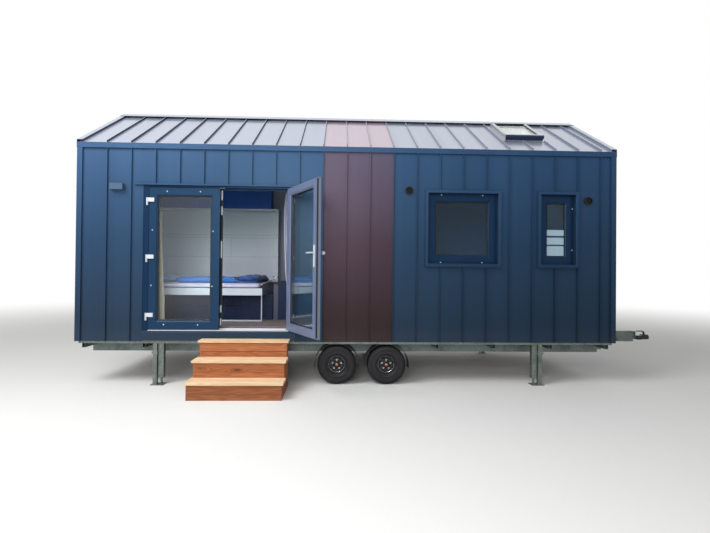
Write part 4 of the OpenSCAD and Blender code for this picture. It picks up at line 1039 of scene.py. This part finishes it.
def makePiping(name, pad, look, finish):
    # a cord laid on the pad's points that are nearest to an outline at each given height, in even steps along it
    points = (meshPoints(pad.data) - houseMid) * 1000
    outline = roundedRect(2 * look["reach"][0], 2 * look["reach"][1], look["corner"], 12)
    outline = np.concatenate([outline, outline[:1]])
    way = np.append(0, np.cumsum(np.hypot(*np.diff(outline, axis=0).T)))
    steps = np.linspace(0, way[-1], look["steps"], endpoint=False)
    across, back = (np.interp(steps, way, outline[:, k]) for k in (0, 1))
    loops = []
    for height in look["heights"]:
        wanted = np.column_stack([across, back, 0 * steps]) + [look["middle"][0], look["middle"][1], height]
        gap = ((wanted[:, None] - points[None]) ** 2).sum(2)
        near = points[gap.argmin(1)]
        for _ in range(3):
            near = (np.roll(near, 1, 0) + 2 * near + np.roll(near, -1, 0)) / 4
        loops.append(tube(near, look["radius"], 8, True))
    makePiece(name, joined(*loops), finish, smooth=60)


padLook = {"pressure": 4.0, "frames": 20, "rest": 1332, "turn": 0, "presses": ()}
mattressLook = {
    **padLook, "size": (2028, 1408, 66), "middle": (-2340, 119, 1294.5), "corner": 26, "crown": 60, "round": 2.6,
    "rows": 60, "columns": 240, "voxel": 0.02, "cap": 0.006, "slack": 0.02, "fill": 0.9, "rest": 1257.4,
    "waves": [(3, 0.006, 0.002, 0.4), (2, -0.003, 0.007, 1.0)],
    "presses": [((-2340, 119), (1200, 900), 0, 8, 1330.8)],
}
pipingLook = {"steps": 300, "corner": 44, "reach": (1020, 709), "middle": (-2340, 119), "heights": (1267, 1323),
              "radius": 3.4}
duvetLook = {
    **padLook, "size": (1216, 1262, 70), "middle": (-1968, 52, 1371), "corner": 16, "crown": 26, "round": 2.2,
    "rows": 60, "columns": 180, "voxel": 0.016, "pressure": 3.0, "cap": 0.011, "slack": 0.06, "fill": 0.45,
    "waves": [(10, 0.011, 0.003, 0.5), (7, -0.006, 0.013, 1.7), (5, 0.021, -0.012, 0.2)],
    "presses": [((-1500, -120), (166, 430), -8, 3.4, 1349), ((-1808, -180), (138, 222), 12, 3.4, 1405)],
}
pillowLook = {
    **padLook, "size": (420, 600, 88), "middle": (-2806, -240, 1387), "corner": 5, "crown": 3.2, "round": 1.3,
    "rows": 36, "columns": 96, "voxel": 0.014, "cap": 0.014, "slack": 0.04, "fill": 0.6, "turn": 5,
    "waves": [(6, 0.009, 0.012, 0.9)],
}
sheetEndLook = {
    **padLook, "size": (250, 420, 30), "middle": (-1808, -180, 1425), "corner": 3.4, "crown": 3.0, "round": 1.5,
    "rows": 36, "columns": 120, "voxel": 0.01, "pressure": 2.0, "frames": 16, "cap": 0.005, "slack": 0.1, "fill": 0.3,
    "rest": 1408, "turn": 12, "waves": [(9, 0.02, 0.013, 0.3), (6, -0.016, 0.03, 1.1)],
}
coverLook = {
    **sheetEndLook, "size": (300, 830, 84), "middle": (-1500, -120, 1394), "crown": 5.0, "round": 1.6, "rows": 50,
    "columns": 140, "voxel": 0.011, "cap": 0.007, "rest": 1352, "turn": -8,
    "waves": [(16, 0.017, 0.011, 0.3), (11, -0.014, 0.022, 1.1), (7, 0.035, -0.02, 2.0)],
}
mattress = makePad("mattressPad", mattressLook, mattressCloth, ["mattress"])
makePiping("mattressPiping", mattress, pipingLook, paleCloth)
makePad("blueDuvet", duvetLook, blueCloth, ["bedding"])
makePad("pillow", pillowLook, pillowCloth)
makePad("crumpledCover", coverLook, foldCloth)
makePad("sheetEnd", sheetEndLook, paleCloth)
print("bedding made")

# The bed's side bar, the curtains, and the cloth tucked between the bars

barLook = {"x": -1304, "front": (-574, 1316), "back": (822, 1364), "radius": 8, "bend": 16, "foot": 1259,
           "bracket": (1372, 92, 44, 12), "arm": (1407, 16, 88, 10)}


def makeSideBar(look=barLook):
    # a bar that rises to the unit, its front end bent down to the bed's rail, its back end in a plate with an arm
    x, bend, lean = look["x"], look["bend"], (1, 0, 0)
    (y0, z0), (y1, z1) = look["front"], look["back"]
    elbow = [(x, y0 + bend - bend * math.sin(a), z0 - bend + bend * math.cos(a))
             for a in np.linspace(0, math.pi / 2, 8)]
    path = [(x, y1 - (y1 - y0 - bend) * t, z1 - (z1 - z0) * t) for t in np.linspace(0, 1, 20)[:-1]]
    bar = tube(path + elbow[:-1], look["radius"], 14, lean=lean)
    makePiece("bedSideBar", bar, barPaintedLight)
    foot = tube([*elbow[-2:], (x, y0, look["foot"])], look["radius"] + 0.6, 14, lean=lean)
    makePiece("barFoot", foot, blackTrim)
    z, high, wide, thick = look["bracket"]
    plate = copies(slab(wide, high, thick, 2, 8), (x + 14, y1 + 14, z), outward)
    makePiece("barPlate", plate, barPaintedLight)
    z, high, wide, thick = look["arm"]
    arm = copies(slab(wide, high, thick, 2, 5), (x + 2, y1 + 24, z), outward)
    makePiece("barArm", arm, blackTrim)


makeSideBar()


def clothGrid(left, right, heights, depth, look, middle, rows=60, columns=200):
    # s runs across and t down: x = left(t) + s (right(t) - left(t)), y = middle + d(t) sin(2 pi folds s + sway t);
    # d(t) is the depth at which each row's folds use up the same flat width
    z = np.linspace(heights[0], heights[1], rows)
    s = np.linspace(0, 1, columns)
    start, end = left(z), right(z)
    width = end - start
    wave = np.sin(2 * math.pi * look["folds"] * s[None] + look["sway"] * np.linspace(0, 1, rows)[:, None])
    depths = np.linspace(0, depth, 40)

    def length(d):
        way = np.hypot(np.diff(width[:, None] * s[None], axis=1), np.diff(d * wave, axis=1))
        return way.sum(1)

    table = np.stack([length(d) for d in depths], 1)
    d = np.array([np.interp(look["flat"], row, depths) for row in table])
    y = middle + d[:, None] * wave
    x = start[:, None] + width[:, None] * s[None]
    return np.stack([x, y, np.broadcast_to(z[:, None], x.shape)], -1).reshape(-1, 3), gridFaces(rows, columns)


def makeSheet(name, shape, finish, thick=0.0012):
    # an open surface of cloth, given its thickness by Solidify
    mesh = meshOf(name, shape, finish)
    mesh.shade_smooth()
    piece = placed(name, mesh)
    wall = piece.modifiers.new("thickness", "SOLIDIFY")
    wall.thickness = thick
    wall.offset = 0
    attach(piece, "root")


railLook = {"y": -1088, "z": 2616, "x": (-2700, -770), "radius": 8, "brackets": (-2640, -1740, -830), "wall": -1127,
            "knob": [(0, -4), (9, -4), (13, 2), (13, 10), (8, 16), (0, 17)]}


def makeCurtainRail(look=railLook):
    # a rod with a knob at each end, on bent arms from plates on the wall
    (left, right), y, z, wall = look["x"], look["y"], look["z"], look["wall"]
    rod = tube([(x, y, z) for x in np.linspace(left, right, 16)], look["radius"], 14)
    knob = turned(look["knob"], 20)
    ends = joined(copies(knob, (right, y, z), sideways),
                  copies(knob, (left, y, z), ((0, 1, 0), (0, 0, 1), (-1, 0, 0))))
    arms = [tube([(x, wall + 1, z + 32), (x, wall + 14, z + 32), (x, y - 4, z + 24), (x, y, z + 6)], 5, 10,
                 lean=(1, 0, 0)) for x in look["brackets"]]
    plates = copies(slab(30, 46, 3, 0.8, 8), [(x, wall + 3.2, z + 40) for x in look["brackets"]], outward)
    makePiece("curtainRail", joined(rod, ends, *arms, plates), creamEnamel)


makeCurtainRail()
curtainLook = {
    "right": {"heights": [2604, 2575, 2350, 1940, 1500, 1330, 786], "left": [-893, -900, -925, -919, -900, -880, -860],
              "right": [-878, -884, -852, -800, -786, -782, -780], "folds": {"folds": 5, "sway": 2.0, "flat": 420}},
    "left": {"heights": [2604, 2300, 1600, 786], "left": [-2655, -2655, -2652, -2648],
             "right": [-2600, -2590, -2560, -2520], "folds": {"folds": 5, "sway": 2.5, "flat": 480}},
    "y": -1082, "depth": 30, "drop": (2604, 786),
}


def makeCurtain(name, side, finish, look=curtainLook):
    # its left and right edges run through (edge, height) points, and its folds hang from the rail
    own = look[side]
    heights = own["heights"][::-1]
    edges = [lambda z, values=own[key][::-1]: np.interp(z, heights, values) for key in ("left", "right")]
    shape = clothGrid(*edges, look["drop"], look["depth"], own["folds"], look["y"])
    makeSheet(name, shape, finish)


makeCurtain("rightCurtain", "right", paleCloth)
makeCurtain("leftCurtain", "left", beigeCloth)

tuckLook = {"y": (-560, 812), "z": (1322, 1182), "x": -1312, "wave": 4.5, "count": 9, "grid": (24, 220)}


def makeTuckedCloth(look=tuckLook):
    # a cloth over the mattress's edge, hung down behind the side bar: x = middle + wave sin(2 pi n s) growing downwards
    rows, columns = look["grid"]
    s, t = np.meshgrid(np.linspace(0, 1, columns), np.linspace(0, 1, rows))
    y = look["y"][0] + s * (look["y"][1] - look["y"][0])
    z = look["z"][0] + t * (look["z"][1] - look["z"][0])
    x = look["x"] + look["wave"] * t * np.sin(2 * math.pi * look["count"] * s + 1.5 * np.sin(5 * s))
    points = np.stack([x, y, z], -1)
    makeSheet("tuckedCloth", (points.reshape(-1, 3), gridFaces(rows, columns)), gauzeCloth)


makeTuckedCloth()
print("bars and curtains made")

# Studio: pale floor, white surroundings, two large soft lamps

studioLook = {
    "fill": 0.38, "floor": seen(240, 240, 238), "speck": seen(200, 200, 198), "rim": (60, 96), "fade": (6.0, 20.0),
    "aim": (-1.0, 0.0, 1.6),
    "lamps": {"softKey": {"from": (-5.4, -5.0, 7.0), "level": 0.72, "size": 4.6},
              "softFront": {"from": (-2.2, -9.0, 3.4), "level": 0.32, "size": 3.0}},
}


def makeStudio(look=studioLook):
    # the world is white to the camera and in reflections, and dimmer as a light; the floor fades to white far out
    world = bpy.data.worlds.new("studio")
    bpy.context.scene.world = world
    f = Finish("studio", world)
    path = f.add("LightPath")
    watched = (path["Is Camera Ray"] + path["Is Glossy Ray"] + path["Is Transmission Ray"]) > 0.5
    strength = look["fill"] + watched * (1 - look["fill"])
    f.add("OutputWorld", {"Surface": f.add("Background", {"Color": (1, 1, 1), "Strength": strength})})

    aim = np.array(look["aim"])
    for name, own in look["lamps"].items():
        source = np.array(own["from"])
        lamp = bpy.data.lights.new(name, "AREA")
        lamp.size = own["size"]
        lamp.energy = own["level"] * math.pi**2 * float(((source - aim) ** 2).sum())
        stand = placed(name, lamp)
        stand.location = source
        stand.rotation_euler = Vector(aim - source).to_track_quat("-Z", "Y").to_euler()

    radius, count = look["rim"]
    a = np.linspace(0, 2 * math.pi, count, endpoint=False)
    mesh = bpy.data.meshes.new("studioFloor")
    mesh.from_pydata(np.stack([radius * np.cos(a), radius * np.sin(a), 0 * a], 1).tolist(), [], [list(range(count))])
    f = Finish("studioFloor")
    x, y, z = f.axes()
    base = f.mix(f.noise(40.0, 3.0) * 0.06, look["floor"], look["speck"])
    ground = f.add("BsdfPrincipled", {"Base Color": base, "Roughness": 0.7, "Specular IOR Level": 0.2})
    white = f.add("Emission", {"Color": (1, 1, 1), "Strength": 1.0})
    far = f.step((x * x + y * y).root(), *look["fade"])
    f.add("OutputMaterial", {"Surface": f.add("MixShader", {0: far, 1: ground, 2: white})})
    mesh.materials.append(f.owner)
    placed("studioFloor", mesh)


makeStudio()

# Camera, at the photograph's view

photoCamera = {"eye": (-0.16567, -7.31977, 1.53219), "yaw": -0.0353128, "pitch": 0.00900999, "roll": 0.0097136,
               "lens": 23.0143, "sensor": 36, "far": 200}


def makeCamera(look=photoCamera):
    # right, ahead and up, turned by the yaw, then the pitch, then the roll
    yaw, pitch, roll = look["yaw"], look["pitch"], look["roll"]
    right = np.array([math.cos(yaw), math.sin(yaw), 0])
    ahead = np.array([-math.sin(yaw), math.cos(yaw), 0])
    up = np.array([0, 0, 1.0])
    ahead, up = math.cos(pitch) * ahead + math.sin(pitch) * up, math.cos(pitch) * up - math.sin(pitch) * ahead
    right, up = math.cos(roll) * right + math.sin(roll) * up, math.cos(roll) * up - math.sin(roll) * right
    matrix = np.eye(4)
    matrix[:3, 0], matrix[:3, 1], matrix[:3, 2], matrix[:3, 3] = right, up, -ahead, houseMid + look["eye"]
    lens = bpy.data.cameras.new("photoCamera")
    lens.sensor_fit = "HORIZONTAL"
    lens.sensor_width = look["sensor"]
    lens.lens = look["lens"]
    lens.clip_end = look["far"]
    camera = placed("photoCamera", lens)
    camera.matrix_world = Matrix(matrix.tolist())
    bpy.context.scene.camera = camera


makeCamera()
bpy.context.scene.view_settings.view_transform = "Standard"
print("camera and light set")
